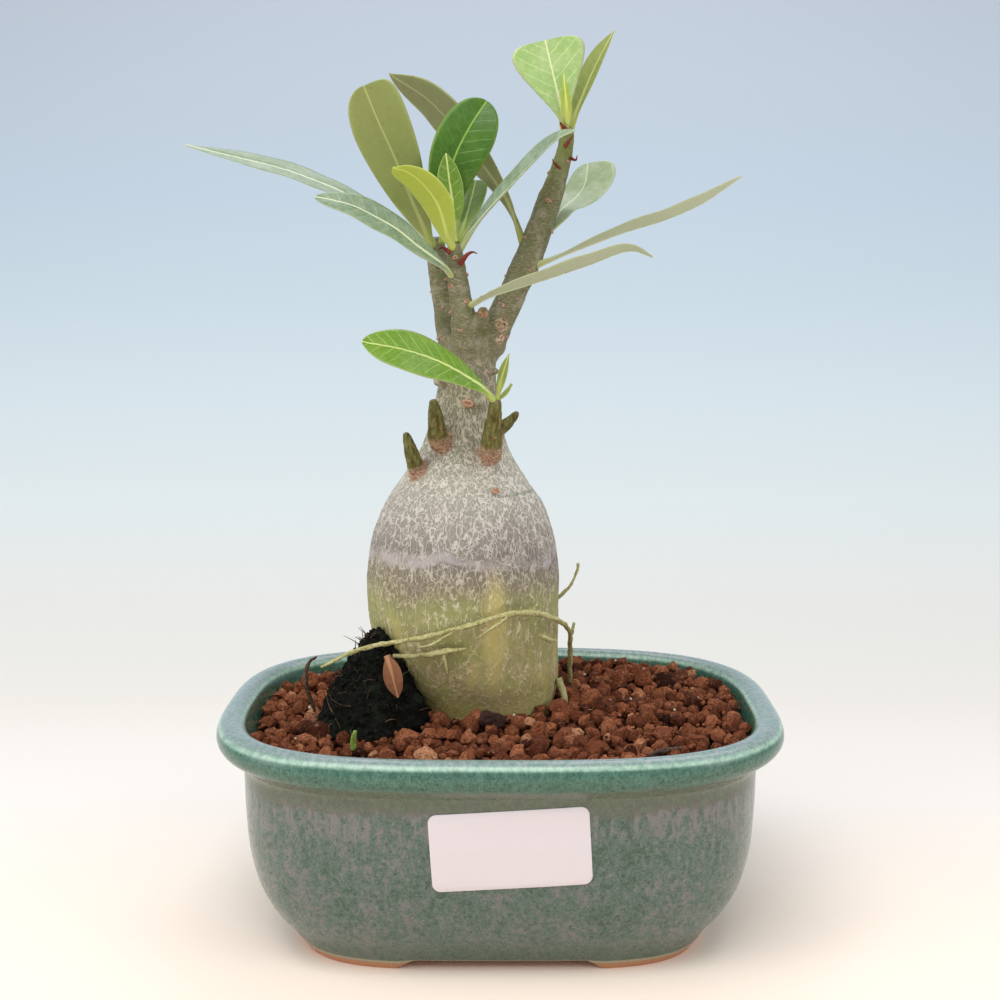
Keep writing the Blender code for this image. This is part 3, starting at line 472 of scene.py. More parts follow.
def glaze_material():
    """Lilac-grey stoneware glaze clouded and specked with blue-green; teal roll on the lip, bare clay on the feet."""
    m = Mat("pot_glaze", rough=0.24, spec=0.5)
    z = m.xyz("Z")
    up = m.normal_z()
    w = m.warp(m.mm, 2.4, 1.4)
    fine = m.noise(0.55, 4.0, 0.66, src=w, seed=1)
    mid = m.noise(1.45, 4.0, 0.64, src=m.stretch(1.0, 1.0, 0.75, src=w), seed=2)
    big = m.noise(7.0, 3.0, 0.6, src=m.stretch(1.0, 1.0, 0.7), seed=3)
    wide = m.noise(30.0, 2.0, seed=6)
    rag = m.math("ADD", m.math("MULTIPLY", m.math("SUBTRACT", big, 0.5), 5.0), m.math("MULTIPLY", m.math("SUBTRACT", mid, 0.5), 6.0))
    zr = m.math("ADD", z, rag)
    # milky lilac-grey ground
    body = m.ramp(fine, (0.30, rgb(94, 99, 96)), (0.50, rgb(110, 112, 109)), (0.70, rgb(125, 121, 122)))
    # teal clouds of fine mottles
    cover = m.math("ADD", m.math("MULTIPLY", mid, 0.62), m.math("ADD", m.math("MULTIPLY", big, 0.30), m.math("MULTIPLY", wide, 0.18)))
    drip = m.noise(2.4, 3.0, 0.6, src=m.stretch(1, 1, 0.26), seed=14)
    milk = m.math("MULTIPLY", m.math("MULTIPLY", m.step(z, 36.0, 43.0), m.step(zr, 48.0, 46.0)), m.step(drip, 0.46, 0.60))
    cover = m.math("SUBTRACT", cover, m.math("MULTIPLY", milk, 0.09))
    teal = m.step(cover, 0.455, 0.575)
    body = m.mix(m.math("MULTIPLY", teal, 0.92), body, m.ramp(fine, (0.32, rgb(60, 84, 72)), (0.50, rgb(77, 101, 90)), (0.68, rgb(94, 115, 105))))
    deep = m.step(m.math("ADD", cover, m.math("MULTIPLY", m.math("SUBTRACT", m.noise(0.9, 3.0, 0.6, src=w, seed=12), 0.5), 0.25)), 0.59, 0.67)
    body = m.mix(m.math("MULTIPLY", deep, 0.75), body, rgb(54, 80, 62))
    body = m.mix(m.math("MULTIPLY", milk, 0.50), body, rgb(126, 121, 121))
    # sharp dark specks, thicker inside the clouds
    grit = m.math("ADD", m.noise(0.62, 4.0, 0.72, src=m.mm, seed=4), m.math("MULTIPLY", m.math("SUBTRACT", cover, 0.55), 0.28))
    speck = m.step(grit, 0.580, 0.630)
    body = m.mix(m.math("MULTIPLY", speck, 0.80), body, rgb(34, 54, 44))
    # greener in smooth bands towards the foot
    body = m.mix(m.math("MULTIPLY", m.step(zr, 13.0, 4.0), 0.55), body, rgb(76, 94, 74))
    # olive neck under the lip with a brown ragged lower edge
    neck = m.math("MULTIPLY", m.step(zr, 45.2, 47.0), m.step(z, 54.4, 52.2))
    body = m.mix(m.math("MULTIPLY", neck, 0.85), body, m.ramp(m.math("ADD", m.math("MULTIPLY", mid, 0.6), m.math("MULTIPLY", fine, 0.4)),
                                                             (0.38, rgb(80, 86, 68)), (0.50, rgb(93, 102, 83)), (0.62, rgb(104, 116, 97))))
    brown = m.math("MULTIPLY", m.step(zr, 44.6, 45.8), m.step(zr, 47.4, 46.2))
    body = m.mix(m.math("MULTIPLY", brown, 0.35), body, rgb(92, 84, 72))
    # lip: teal roll full of dark flecks
    zl = m.math("ADD", z, m.math("MULTIPLY", rag, 0.30))
    lip = m.step(zl, 52.0, 53.6)
    roll = m.ramp(m.math("ADD", m.math("MULTIPLY", fine, 0.6), m.math("MULTIPLY", mid, 0.4)),
                  (0.36, rgb(40, 78, 62)), (0.47, rgb(60, 100, 84)), (0.57, rgb(76, 118, 102)), (0.68, rgb(90, 132, 118)))
    body = m.mix(lip, body, roll)
    fleck = m.math("MULTIPLY", m.step(m.math("ADD", m.noise(0.62, 4.0, 0.72, src=m.stretch(1, 1, 0.8), seed=24), m.math("MULTIPLY", m.step(z, 57.6, 54.0), 0.045)), 0.585, 0.635), lip)
    body = m.mix(m.math("MULTIPLY", m.math("MULTIPLY", fleck, m.step(up, 0.55, 0.30)), 0.85), body, rgb(28, 56, 44))
    # crest: a thin pale line, which is a painted highlight along the rounded edge of the rim, then a blue-lilac top
    high = m.step(z, 56.6, 58.0)
    top = m.mix(m.step(m.math("ADD", m.math("MULTIPLY", mid, 0.6), m.math("MULTIPLY", fine, 0.4)), 0.42, 0.58), rgb(112, 142, 132), rgb(146, 156, 158))
    body = m.mix(m.math("MULTIPLY", m.step(up, 0.58, 0.86), high), body, top)
    # painted highlight: pale line where the crest's normal turns from the side towards the top
    line = m.math("MULTIPLY", m.math("MULTIPLY", m.step(up, 0.34, 0.56), m.step(up, 0.86, 0.64)), high)
    body = m.mix(m.math("MULTIPLY", line, m.ramp(mid, (0.34, 0.45), (0.60, 0.85))), body, rgb(172, 204, 184))
    # cream line and bare clay round the feet
    cream = m.math("MULTIPLY", m.step(z, 1.7, 2.0), m.step(z, 2.9, 2.3))
    body = m.mix(m.math("MULTIPLY", cream, 0.75), body, rgb(184, 172, 142))
    clay = m.mix(m.noise(0.6, 4.0, seed=5), rgb(158, 100, 68), rgb(204, 152, 112))
    bare = m.step(z, 1.95, 1.6)
    under = m.math("MULTIPLY", m.step(up, -0.75, -0.93), m.step(z, 4.0, 3.0))
    bare = m.math("MAXIMUM", bare, under)
    body = m.mix(bare, body, clay)
    rough = m.math("ADD", m.ramp(mid, (0.3, 0.20), (0.7, 0.32)), m.math("MULTIPLY", bare, 0.6))
    h = m.math("ADD", m.math("MULTIPLY", fine, 0.5), m.math("MULTIPLY", mid, 0.9))
    n = m.bump(h, 0.09, 0.40)
    pin = m.step(m.voronoi(3.4, "F1", src=m.mm), 0.10, 0.045)
    n = m.bump(m.math("SUBTRACT", 1.0, pin), 0.10, 0.5, normal=n)
    m.shader.inputs["Coat Weight"].default_value = 0.22
    m.shader.inputs["Coat Roughness"].default_value = 0.14
    return m.done(body, rough, n)


def make_pot():
    n = 200
    rows = [(a, b, z) for a, b, z in OUTER + INNER]
    prof = curve(rows, 120)
    under = [(54.2 * s, 44.6 * s, 0.0) for s in (0.08, 0.2, 0.34, 0.44, 0.50, 0.56, 0.64, 0.74, 0.84, 0.92, 0.97, 0.99)]
    floor = [(48.0 * s, 35.0 * s, 6.5) for s in (0.9, 0.7, 0.45, 0.2, 0.05)]
    verts = []
    for a, b, z in under + [tuple(r) for r in prof] + floor:
        xy = outline(a, b, n, z)
        zz = np.full(n, z)
        if z < 7.0 and len(verts) < (len(under) + 60) * n:
            lift = arch(xy[:, 0], xy[:, 1])
            zz = lift + z * (7.0 - lift) / 7.0
        # hand-thrown unevenness
        wob = np.array([noise.noise(Vector((x * 0.03, y * 0.03, z * 0.05))) for x, y in xy]) * 0.35
        if z > 3:
            s = 1 + wob / 60.0
            xy = xy * s[:, None]
        verts += list(np.column_stack([xy, zz]))
    faces = loft_faces(len(verts) // n, n)
    pot = outward(new_object("glazed_pot", verts, faces, glaze_material()))
    for sign in (-1, 1):
        r = 6.0
        ring = [(sign * 27.0 + r * math.cos(2 * math.pi * k / 48), r * math.sin(2 * math.pi * k / 48)) for k in range(48)]
        cut = outward(new_object("drain_cutter", [(x, y, -3.0) for x, y in ring] + [(x, y, 9.0) for x, y in ring],
                                 loft_faces(2, 48), None, False))
        mod = pot.modifiers.new("hole", "BOOLEAN")
        mod.operation, mod.object, mod.solver = "DIFFERENCE", cut, "EXACT"
        apply_modifiers(pot)
        bpy.data.objects.remove(cut, do_unlink=True)
    pot.data.shade_smooth()
    pot.data.set_sharp_from_angle(angle=math.radians(50))
    place(pot, "pot_glaze", "pot")


def label():
    m = Mat("label_film", rough=0.38, spec=0.45)
    fleck = m.noise(0.35, 5.0, 0.7, seed=2)
    wave = m.noise(9.0, 2.0, seed=8)
    col = m.mix(m.ramp(fleck, (0.35, 0.0), (0.75, 1.0)), rgb(220, 213, 217), rgb(226, 219, 223))
    col = m.mix(m.math("MULTIPLY", wave, 0.10), col, rgb(212, 205, 208))
    mat = m.done(col, m.ramp(wave, (0.3, 0.32), (0.7, 0.46)), m.bump(wave, 0.25, 0.4))
    tilt = math.radians(3.4)
    hw, hh, c = 20.0, 10.25, 2.2
    edge = []
    for cx, cy, a0 in ((hw - c, hh - c, 0), (-hw + c, hh - c, 90), (-hw + c, -hh + c, 180), (hw - c, -hh + c, 270)):
        for k in range(9):
            a = math.radians(a0 + 90 * k / 8)
            edge.append((cx + c * math.cos(a), cy + c * math.sin(a)))
    full = []
    for i, p in enumerate(edge):
        q = edge[(i + 1) % len(edge)]
        full.append(p)
        if i % 9 == 8:
            full += [(p[0] + (q[0] - p[0]) * k / 10, p[1] + (q[1] - p[1]) * k / 10) for k in range(1, 10)]

    def at(profile, z):
        rows = sorted(profile, key=lambda r: r[2])
        for lo, hi in zip(rows, rows[1:]):
            if lo[2] <= z <= hi[2]:
                u = (z - lo[2]) / (hi[2] - lo[2])
                return lo[0] + u * (hi[0] - lo[0]), lo[1] + u * (hi[1] - lo[1])

    def ring(scale, off, grow=0.0):
        out = []
        for u, v in full:
            k = 1 + grow / math.hypot(u, v)
            u, v = u * scale * k, v * scale * k
            x = 2.6 + u * math.cos(tilt) - v * math.sin(tilt)
            z = 37.0 + u * math.sin(tilt) + v * math.cos(tilt)
            a, b = at(OUTER, z)
            power = plan_power(z)
            y = -b * (1 - min(abs(x) / a, 1) ** power) ** (1 / power)
            out.append((x, y - off, z))
        return out
    rings = [ring(s, 0.12) for s in (0.05, 0.3, 0.6, 0.85)] + [ring(1.0, 0.12), ring(1.0, 0.34, -0.02), ring(0.985, 0.42)]
    rings += [ring(s, 0.42) for s in (0.85, 0.6, 0.3, 0.05)]
    verts = [p for r in rings for p in r]
    obj = outward(new_object("blank_label", verts, loft_faces(len(rings), len(full)), mat))
    obj.data.set_sharp_from_angle(angle=math.radians(50))
    place(obj, "label", "label")


# ------------------------------------------------------------------ soil
def soil_z(x, y):
    return (54.9 + 0.021 * x + 0.040 * y + 2.5 * np.exp(-((x + 4) / 38) ** 2 - ((y - 10) / 30) ** 2))


def ico(level):
    bm = bmesh.new()
    bmesh.ops.create_icosphere(bm, subdivisions=level, radius=1.0)
    v = np.array([tuple(p.co) for p in bm.verts])
    f = [tuple(q.index for q in face.verts) for face in bm.faces]
    bm.free()
    return v, f


def soil_material():
    m = Mat("akadama_grains", rough=0.95, spec=0.12)
    tone = m.attr("tone")
    g = m.noise(0.7, 5.0, 0.65, seed=1)
    col = m.ramp(tone, (0.0, rgb(48, 22, 13)), (0.2, rgb(98, 52, 33)), (0.55, rgb(142, 82, 54)), (0.85, rgb(176, 110, 76)), (1.0, rgb(202, 144, 106)))
    col = m.mix(m.ramp(g, (0.34, 0.80), (0.58, 0.0)), col, rgb(44, 20, 12))
    col = m.mix(m.math("MULTIPLY", m.step(m.noise(1.6, 4.0, seed=9), 0.56, 0.70), 0.45), col, rgb(172, 118, 86))
    # pale dust in small flecks on the upper faces
    dust = m.math("MULTIPLY", m.step(m.noise(0.75, 5.0, 0.75, seed=4), 0.60, 0.67), m.step(m.noise(7.0, 2.0, seed=19), 0.44, 0.62))
    dust = m.math("MULTIPLY", dust, m.step(m.normal_z(), 0.05, 0.75))
    col = m.mix(m.math("MULTIPLY", dust, 0.8), col, rgb(224, 200, 180))
    h = m.math("ADD", m.noise(0.8, 5.0, 0.7, seed=2), m.math("MULTIPLY", m.noise(0.25, 4.0, 0.7, seed=6), 0.5))
    return m.done(col, 0.95, m.bump(h, 0.5, 1.0))


def grains(name, rng, spots, mat, level=2, slot="soil", nodes=()):
    base, fac = ico(level)
    verts, faces, tones = [], [], []
    for x, y, z, r, tone in spots:
        sq = rng.uniform(0.72, 1.22, 3)
        ang = rng.uniform(0, 2 * np.pi, 3)
        p = base * sq
        # chipped facets: push points that lie beyond a few random planes back to them
        for _ in range(9):
            d = unit(rng.normal(size=3))
            cut = rng.uniform(0.56, 0.86)
            over = p @ d - cut
            p = p - np.outer(np.clip(over, 0, None) * 0.96, d)
        k = rng.uniform(0, 50)
        bumps = np.array([noise.noise(Vector(q * 1.9) + Vector((k, k, 0))) for q in p]) * 0.22
        bumps += np.array([noise.noise(Vector(q * 4.6) + Vector((0, k, k))) for q in p]) * 0.15
        p = p * (1 + bumps)[:, None] * r
        c, s = np.cos(ang), np.sin(ang)
        rx = np.array([[1, 0, 0], [0, c[0], -s[0]], [0, s[0], c[0]]])
        rz = np.array([[c[2], -s[2], 0], [s[2], c[2], 0], [0, 0, 1]])
        p = p @ rx.T @ rz.T + (x, y, z)
        off = len(verts)
        verts += p.tolist()
        faces += [tuple(i + off for i in f) for f in fac]
        tones += [tone] * len(p)
    obj = new_object(name, verts, faces, mat)
    obj.data.set_sharp_from_angle(angle=math.radians(30))
    attribute(obj.data, "tone", tones)
    place(obj, slot, *nodes)
    return obj


def inside(x, y, a, b):
    return (np.abs(x) / a) ** 3.1 + (np.abs(y) / b) ** 3.1 < 1


def make_soil():
    mat = soil_material()
    # the bed below the visible grains; its near-black tone is painted shade for the gaps between them
    n = 96
    rings = []
    inner = sorted(INNER, key=lambda r: r[2])
    for a, b, z in inner[:5]:
        rings.append([(x, y, z + 0.2) for x, y in outline(a - 0.3, b - 0.3, n, z)])
    for s in (1.0, 0.93, 0.84, 0.74, 0.62, 0.5, 0.38, 0.25, 0.12, 0.02):
        rings.append([(x, y, soil_z(x, y) - 3.2 + 0.5 * noise.noise(Vector((x * 0.3, y * 0.3, 0))))
                      for x, y in outline(68.6 * s, 53.4 * s, n, 56.0)])
    bed = outward(new_object("soil_bed_shade_fill", [p for r in rings for p in r], loft_faces(len(rings), n), mat))
    # tone 0.02 takes the near-black end of the soil ramp: painted shade in the gaps between grains
    attribute(bed.data, "tone", np.full(len(bed.data.vertices), 0.02))
    place(bed, "soil", "soil_bed")
    rng = np.random.default_rng(7)
    spots = []
    grid = {}
    tries = 0
    while tries < 26000 and len(spots) < 1600:
        tries += 1
        x, y = rng.uniform(-69, 69), rng.uniform(-54, 54)
        r = float(np.clip(rng.lognormal(0.86, 0.27), 1.2, 3.9))
        if not inside(x, y, 69.0 - r * 0.75, 53.7 - r * 0.75):
            continue
        d = math.hypot(x + 5.4, y - 12.6)
        if d < 21.2 + r * 0.4:
            continue
        key = (int(x // 4), int(y // 4))
        ok = True
        for i in range(key[0] - 2, key[0] + 3):
            for j in range(key[1] - 2, key[1] + 3):
                for (a, b, q) in grid.get((i, j), ()):
                    if math.hypot(a - x, b - y) < 0.70 * (q + r):
                        ok = False
                        break
                if not ok:
                    break
            if not ok:
                break
        if not ok:
            continue
        grid.setdefault(key, []).append((x, y, r))
        z = soil_z(x, y) - 0.9 + rng.uniform(-1.3, 0.9) + 0.30 * r
        tone = float(np.clip(rng.normal(0.52, 0.24), 0.0, 1.0))
        spots.append((x, y, z, r, tone))
    # small crumbs between them
    crumbs = []
    for _ in range(1500):
        x, y = rng.uniform(-69, 69), rng.uniform(-54, 54)
        if inside(x, y, 68.2, 53.0) and math.hypot(x + 5.4, y - 12.6) > 21.6:
            crumbs.append((x, y, soil_z(x, y) + rng.uniform(-2.2, 0.9), rng.uniform(0.35, 1.05),
                           float(np.clip(rng.normal(0.62, 0.25), 0, 1))))
    half = len(spots) // 3
    grains("soil_grains_a", rng, spots[:half], mat)
    grains("soil_grains_b", rng, spots[half:2 * half], mat)
    grains("soil_grains_c", rng, spots[2 * half:], mat)
    grains("soil_crumbs", rng, crumbs, mat, level=1)
    lo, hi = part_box("large_granule")
    cx, cy, cz = [(lo[i] + hi[i]) / 2 * 1000 for i in range(3)]
    grains("loose_large_granule", rng, [(cx - X0, cy - Y0, cz, 3.3, 0.62)], mat, 3, "soil", ["large_granule"])
    lo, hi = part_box("dark_granule")
    cx, cy, cz = [(lo[i] + hi[i]) / 2 * 1000 for i in range(3)]
    dk = Mat("dark_stone", rough=0.9, spec=0.2)
    g = dk.noise(0.6, 5.0, 0.7)
    dmat = dk.done(dk.ramp(g, (0.3, rgb(26, 16, 14)), (0.7, rgb(74, 48, 42))), 0.9, dk.bump(g, 0.3, 0.9))
    o = grains("loose_dark_granule", rng, [(cx - X0, cy - Y0, cz - 0.4, 3.2, 0.0)], dmat, 3, "dark_granule", ["dark_granule"])
    v = np.array([tuple(p.co) for p in o.data.vertices])
    c = v.mean(0)
    v = c + (v - c) * (1.45, 0.95, 0.8)
    o.data.vertices.foreach_set("co", v.ravel().astype(np.float32))
    # pale and charcoal flecks
    pale = Mat("pale_fleck", rough=0.9)
    pm = pale.done(pale.ramp(pale.noise(0.5, 4.0), (0.3, rgb(196, 178, 158)), (0.7, rgb(232, 222, 208))), 0.9, pale.bump(pale.noise(0.4, 4.0), 0.2, 0.8))
    flecks = []
    darks = []
    for k in range(24):
        x, y = rng.uniform(-60, 62), rng.uniform(-48, 46)
        if math.hypot(x + 5.4, y - 12.6) < 23:
            continue
        (flecks if k % 3 else darks).append((x, y, soil_z(x, y) + 1.7, rng.uniform(0.30, 0.60), 0.5))
    grains("pale_flecks", rng, flecks, pm, 1)
    grains("charcoal_flecks", rng, [(x, y, z, r * 1.6, t) for x, y, z, r, t in darks], dmat, 1, "dark_granule")


# ------------------------------------------------------------------ plant body
def tube_mesh(rows, sides, samples, tip=0.6, wobble=0.0, seed=0.0, start_round=False):
    pts = curve(rows, samples)
    rings, side = [], None
    for i, p in enumerate(pts):
        t = unit(pts[min(i + 1, len(pts) - 1)][:3] - pts[max(i - 1, 0)][:3])
        if side is None:
            side = unit(np.cross(t, (0.3, 1.0, 0.2)))
        side = unit(side - t * np.dot(side, t))
        up = np.cross(t, side)
        ring = []
        for k in range(sides):
            a = 2 * math.pi * k / sides
            d = math.cos(a) * side + math.sin(a) * up
            r = p[3] * (1 + wobble * noise.noise(Vector(p[:3] * 0.45 + d * 1.3) + Vector((seed, 0, seed))))
            ring.append(p[:3] + r * d)
        rings.append(ring)
    last = pts[-1]
    t = unit(pts[-1][:3] - pts[-2][:3])
    for f, h in ((0.82, 0.35), (0.45, 0.55)):
        rings.append([last[:3] + t * last[3] * h * tip / 0.6 + f * (q - last[:3]) for q in rings[samples - 1]])
    return [p for r in rings for p in r], loft_faces(len(rings), sides)


def distance_to_rows(v, rows):
    """Signed distance to a tapered stem and how far along it the nearest point is."""
    pts = curve(rows, 60)
    best = np.full(len(v), 1e9)
    along = np.zeros(len(v))
    for i, p in enumerate(pts):
        d = np.linalg.norm(v - p[:3], axis=1) - p[3]
        m = d < best
        best[m] = d[m]
        along[m] = i / 59
    return best, along


def bark_material():
    m = Mat("bark", rough=0.72, spec=0.2)
    z = m.xyz("Z")
    shoot = m.attr("shoot")
    high = m.attr("high")
    # net of pale corky ridges over darker skin; the cells are tall and narrow
    w = m.warp(m.mm, 2.2, 0.9, 3.0)
    w = m.warp(w, 9.0, 2.2, 11.0)

    def threads(width, tall, seed, wide_edge, sharp_edge):
        f = m.noise(1.0, 1.0, 0.5, src=m.stretch(1 / width, 1 / width, 1 / tall, src=w), seed=seed)
        return m.step(m.math("ABSOLUTE", m.math("SUBTRACT", f, 0.5)), wide_edge, sharp_edge)
    sparse = m.step(z, 98.0, 88.0)                       # fewer ridges below the old soil line
    hold = m.noise(2.6, 4.0, 0.6, src=m.stretch(1, 1, 0.45), seed=12)
    ridge = m.math("MAXIMUM", threads(1.6, 4.6, 2.0, 0.050, 0.014), m.math("MULTIPLY", threads(1.3, 3.2, 7.0, 0.036, 0.008), 0.85))
    ridge2 = m.math("MULTIPLY", threads(2.2, 3.4, 13.0, 0.034, 0.008), 0.80)
    keep = m.mix(sparse, (1.0,) * 3, m.ramp(hold, (0.42, 0.10), (0.56, 1.0)))
    ridge = m.math("MAXIMUM", ridge, m.math("MULTIPLY", ridge2, m.math("SUBTRACT", 1.0, m.math("MULTIPLY", sparse, 0.6))))
    ridge = m.math("MULTIPLY", ridge, keep)
    zz = m.math("ADD", z, m.math("MULTIPLY", m.math("SUBTRACT", m.noise(13.0, 3.0, seed=5), 0.5), 13.0))
    zn = m.math("DIVIDE", m.math("SUBTRACT", zz, 50.0), 110.0)
    skin = m.ramp(zn, (0.0, rgb(184, 168, 108)), (0.16, rgb(168, 158, 106)), (0.34, rgb(152, 150, 100)),
                  (0.40, rgb(130, 121, 98)), (0.47, rgb(124, 116, 108)), (0.56, rgb(150, 145, 134)), (0.66, rgb(166, 163, 149)),
                  (0.78, rgb(134, 131, 110)), (0.92, rgb(118, 114, 91)))
    cork = m.ramp(zn, (0.0, rgb(200, 186, 130)), (0.18, rgb(212, 196, 156)), (0.34, rgb(214, 206, 172)),
                  (0.40, rgb(192, 182, 160)), (0.47, rgb(186, 178, 170)), (0.58, rgb(214, 208, 200)), (0.68, rgb(226, 220, 208)),
                  (0.80, rgb(196, 190, 171)), (0.92, rgb(170, 162, 139)))
    green = m.step(m.noise(12.0, 3.0, seed=21), 0.44, 0.62)
    low = m.step(zz, 95.0, 80.0)
    skin = m.mix(m.math("MULTIPLY", m.math("MULTIPLY", green, low), 0.45), skin, rgb(150, 158, 84))
    # yellow upright patch on the front and smaller ones round the back
    front = m.n.new("ShaderNodeVectorMath")
    front.operation = "DISTANCE"
    m.l.new(m.stretch(1, 0.5, 0.22, src=w), front.inputs[0])
    front.inputs[1].default_value = (-1.5 + X0, -6.5, 17.8)
    patch = m.step(front.outputs["Value"], 4.6, 1.6)
    yellow = m.math("MULTIPLY", m.step(m.noise(9.0, 3.0, seed=33, src=m.stretch(1, 1, 0.4)), 0.56, 0.68), low)
    yellow = m.math("MAXIMUM", m.math("MULTIPLY", yellow, 0.6), patch)
    skin = m.mix(m.math("MULTIPLY", yellow, 0.75), skin, rgb(204, 188, 116))
    cork = m.mix(m.math("MULTIPLY", yellow, 0.45), cork, rgb(222, 204, 146))
    # pale ring left by an old soil line
    ringz = m.math("ADD", z, m.math("MULTIPLY", m.noise(22.0, 3.0, seed=17), 12.0))
    band = m.math("MULTIPLY", m.step(ringz, 104.4, 106.2), m.step(ringz, 110.2, 107.0))
    ringmask = m.math("MULTIPLY", band, m.ramp(m.noise(8.0, 3.0, seed=2), (0.40, 0.05), (0.58, 0.62)))
    skin = m.mix(ringmask, skin, rgb(198, 190, 194))
    col = m.mix(m.math("MULTIPLY", ridge, 0.92), skin, cork)
    # tan scurf and brown flecks low down
    scurf = m.math("MULTIPLY", m.step(m.noise(1.7, 5.0, 0.72, src=m.stretch(1.2, 1.2, 0.6, src=w), seed=8), 0.55, 0.63), m.step(zz, 88.0, 66.0))
    col = m.mix(m.math("MULTIPLY", scurf, 0.78), col, m.mix(m.noise(0.8, 4.0), rgb(166, 124, 90), rgb(222, 198, 166)))
    fleck = m.math("MULTIPLY", m.step(m.noise(1.3, 4.0, 0.7, src=m.stretch(1, 1, 0.8), seed=41), 0.66, 0.72), m.step(zz, 92.0, 72.0))
    col = m.mix(m.math("MULTIPLY", fleck, 0.8), col, rgb(104, 66, 46))
    damp = m.math("MULTIPLY", m.step(zz, 64.0, 57.0), 0.40)
    col = m.mix(damp, col, m.mix(m.noise(2.0, 4.0, seed=50), rgb(158, 156, 70), rgb(200, 188, 126)))
    # faint green scar line round the shoulder
    line = m.math("ADD", z, m.math("MULTIPLY", m.noise(6.0, 2.0, seed=60), 1.6))
    line = m.math("MULTIPLY", m.step(line, 118.4, 118.8), m.step(line, 119.5, 119.1))
    col = m.mix(m.math("MULTIPLY", line, m.math("MULTIPLY", m.step(m.xyz("X"), 2.0, 5.0), 0.45)), col, rgb(96, 120, 92))
    # branches: olive-grey skin with fine wavy cross lines
    cross = m.warp(m.mm, 1.2, 0.5, 9.0)
    fine = m.noise(1.0, 3.0, 0.6, src=m.stretch(0.9, 0.9, 3.2, src=cross), seed=14)
    tw = m.ramp(fine, (0.34, rgb(98, 98, 70)), (0.48, rgb(114, 113, 84)), (0.60, rgb(132, 129, 102)), (0.70, rgb(160, 155, 132)))
    tw = m.mix(m.math("MULTIPLY", m.step(m.noise(4.2, 4.0, seed=15), 0.50, 0.66), 0.45), tw, rgb(166, 162, 142))
    tw = m.mix(m.math("MULTIPLY", m.step(m.noise(5.0, 3.0, seed=25), 0.52, 0.66), 0.40), tw, rgb(96, 108, 58))
    tw = m.mix(m.math("MULTIPLY", m.step(z, 196.0, 215.0), 0.65), tw, rgb(112, 124, 56))
    # flaking rough patches where old shoots were rubbed off
    tw = m.mix(m.attr("flake"), tw, m.ramp(m.noise(0.8, 4.0, 0.7, seed=27), (0.34, rgb(84, 62, 46)), (0.50, rgb(156, 128, 100)), (0.64, rgb(214, 202, 182))))
    col = m.mix(high, col, tw)
    # stub shoots: green-brown with brown streaks
    sh = m.ramp(m.noise(1.1, 4.0, 0.6, src=m.stretch(1.3, 1.3, 0.5), seed=18), (0.36, rgb(84, 66, 36)), (0.48, rgb(98, 98, 50)), (0.64, rgb(128, 122, 74)))
    sh = m.mix(m.math("MULTIPLY", m.step(m.noise(1.5, 3.0, seed=19), 0.62, 0.70), 0.7), sh, rgb(190, 128, 96))
    col = m.mix(shoot, col, sh)
    ring = m.attr("ring")
    knot = m.ramp(m.noise(0.9, 4.0, 0.65, src=m.stretch(1, 1, 2.0), seed=61), (0.36, rgb(96, 62, 42)), (0.50, rgb(166, 124, 96)), (0.66, rgb(204, 176, 150)))
    col = m.mix(m.math("MULTIPLY", ring, 0.85), col, knot)
    h = m.math("ADD", m.math("MULTIPLY", ridge, 0.9), m.math("MULTIPLY", m.noise(0.5, 4.0, seed=3), 0.4))
    h = m.mix(high, h, m.math("MULTIPLY", fine, 1.2))
    nrm = m.bump(h, 0.20, 0.8)
    return m.done(col, m.ramp(ridge, (0.0, 0.66), (1.0, 0.85)), nrm)


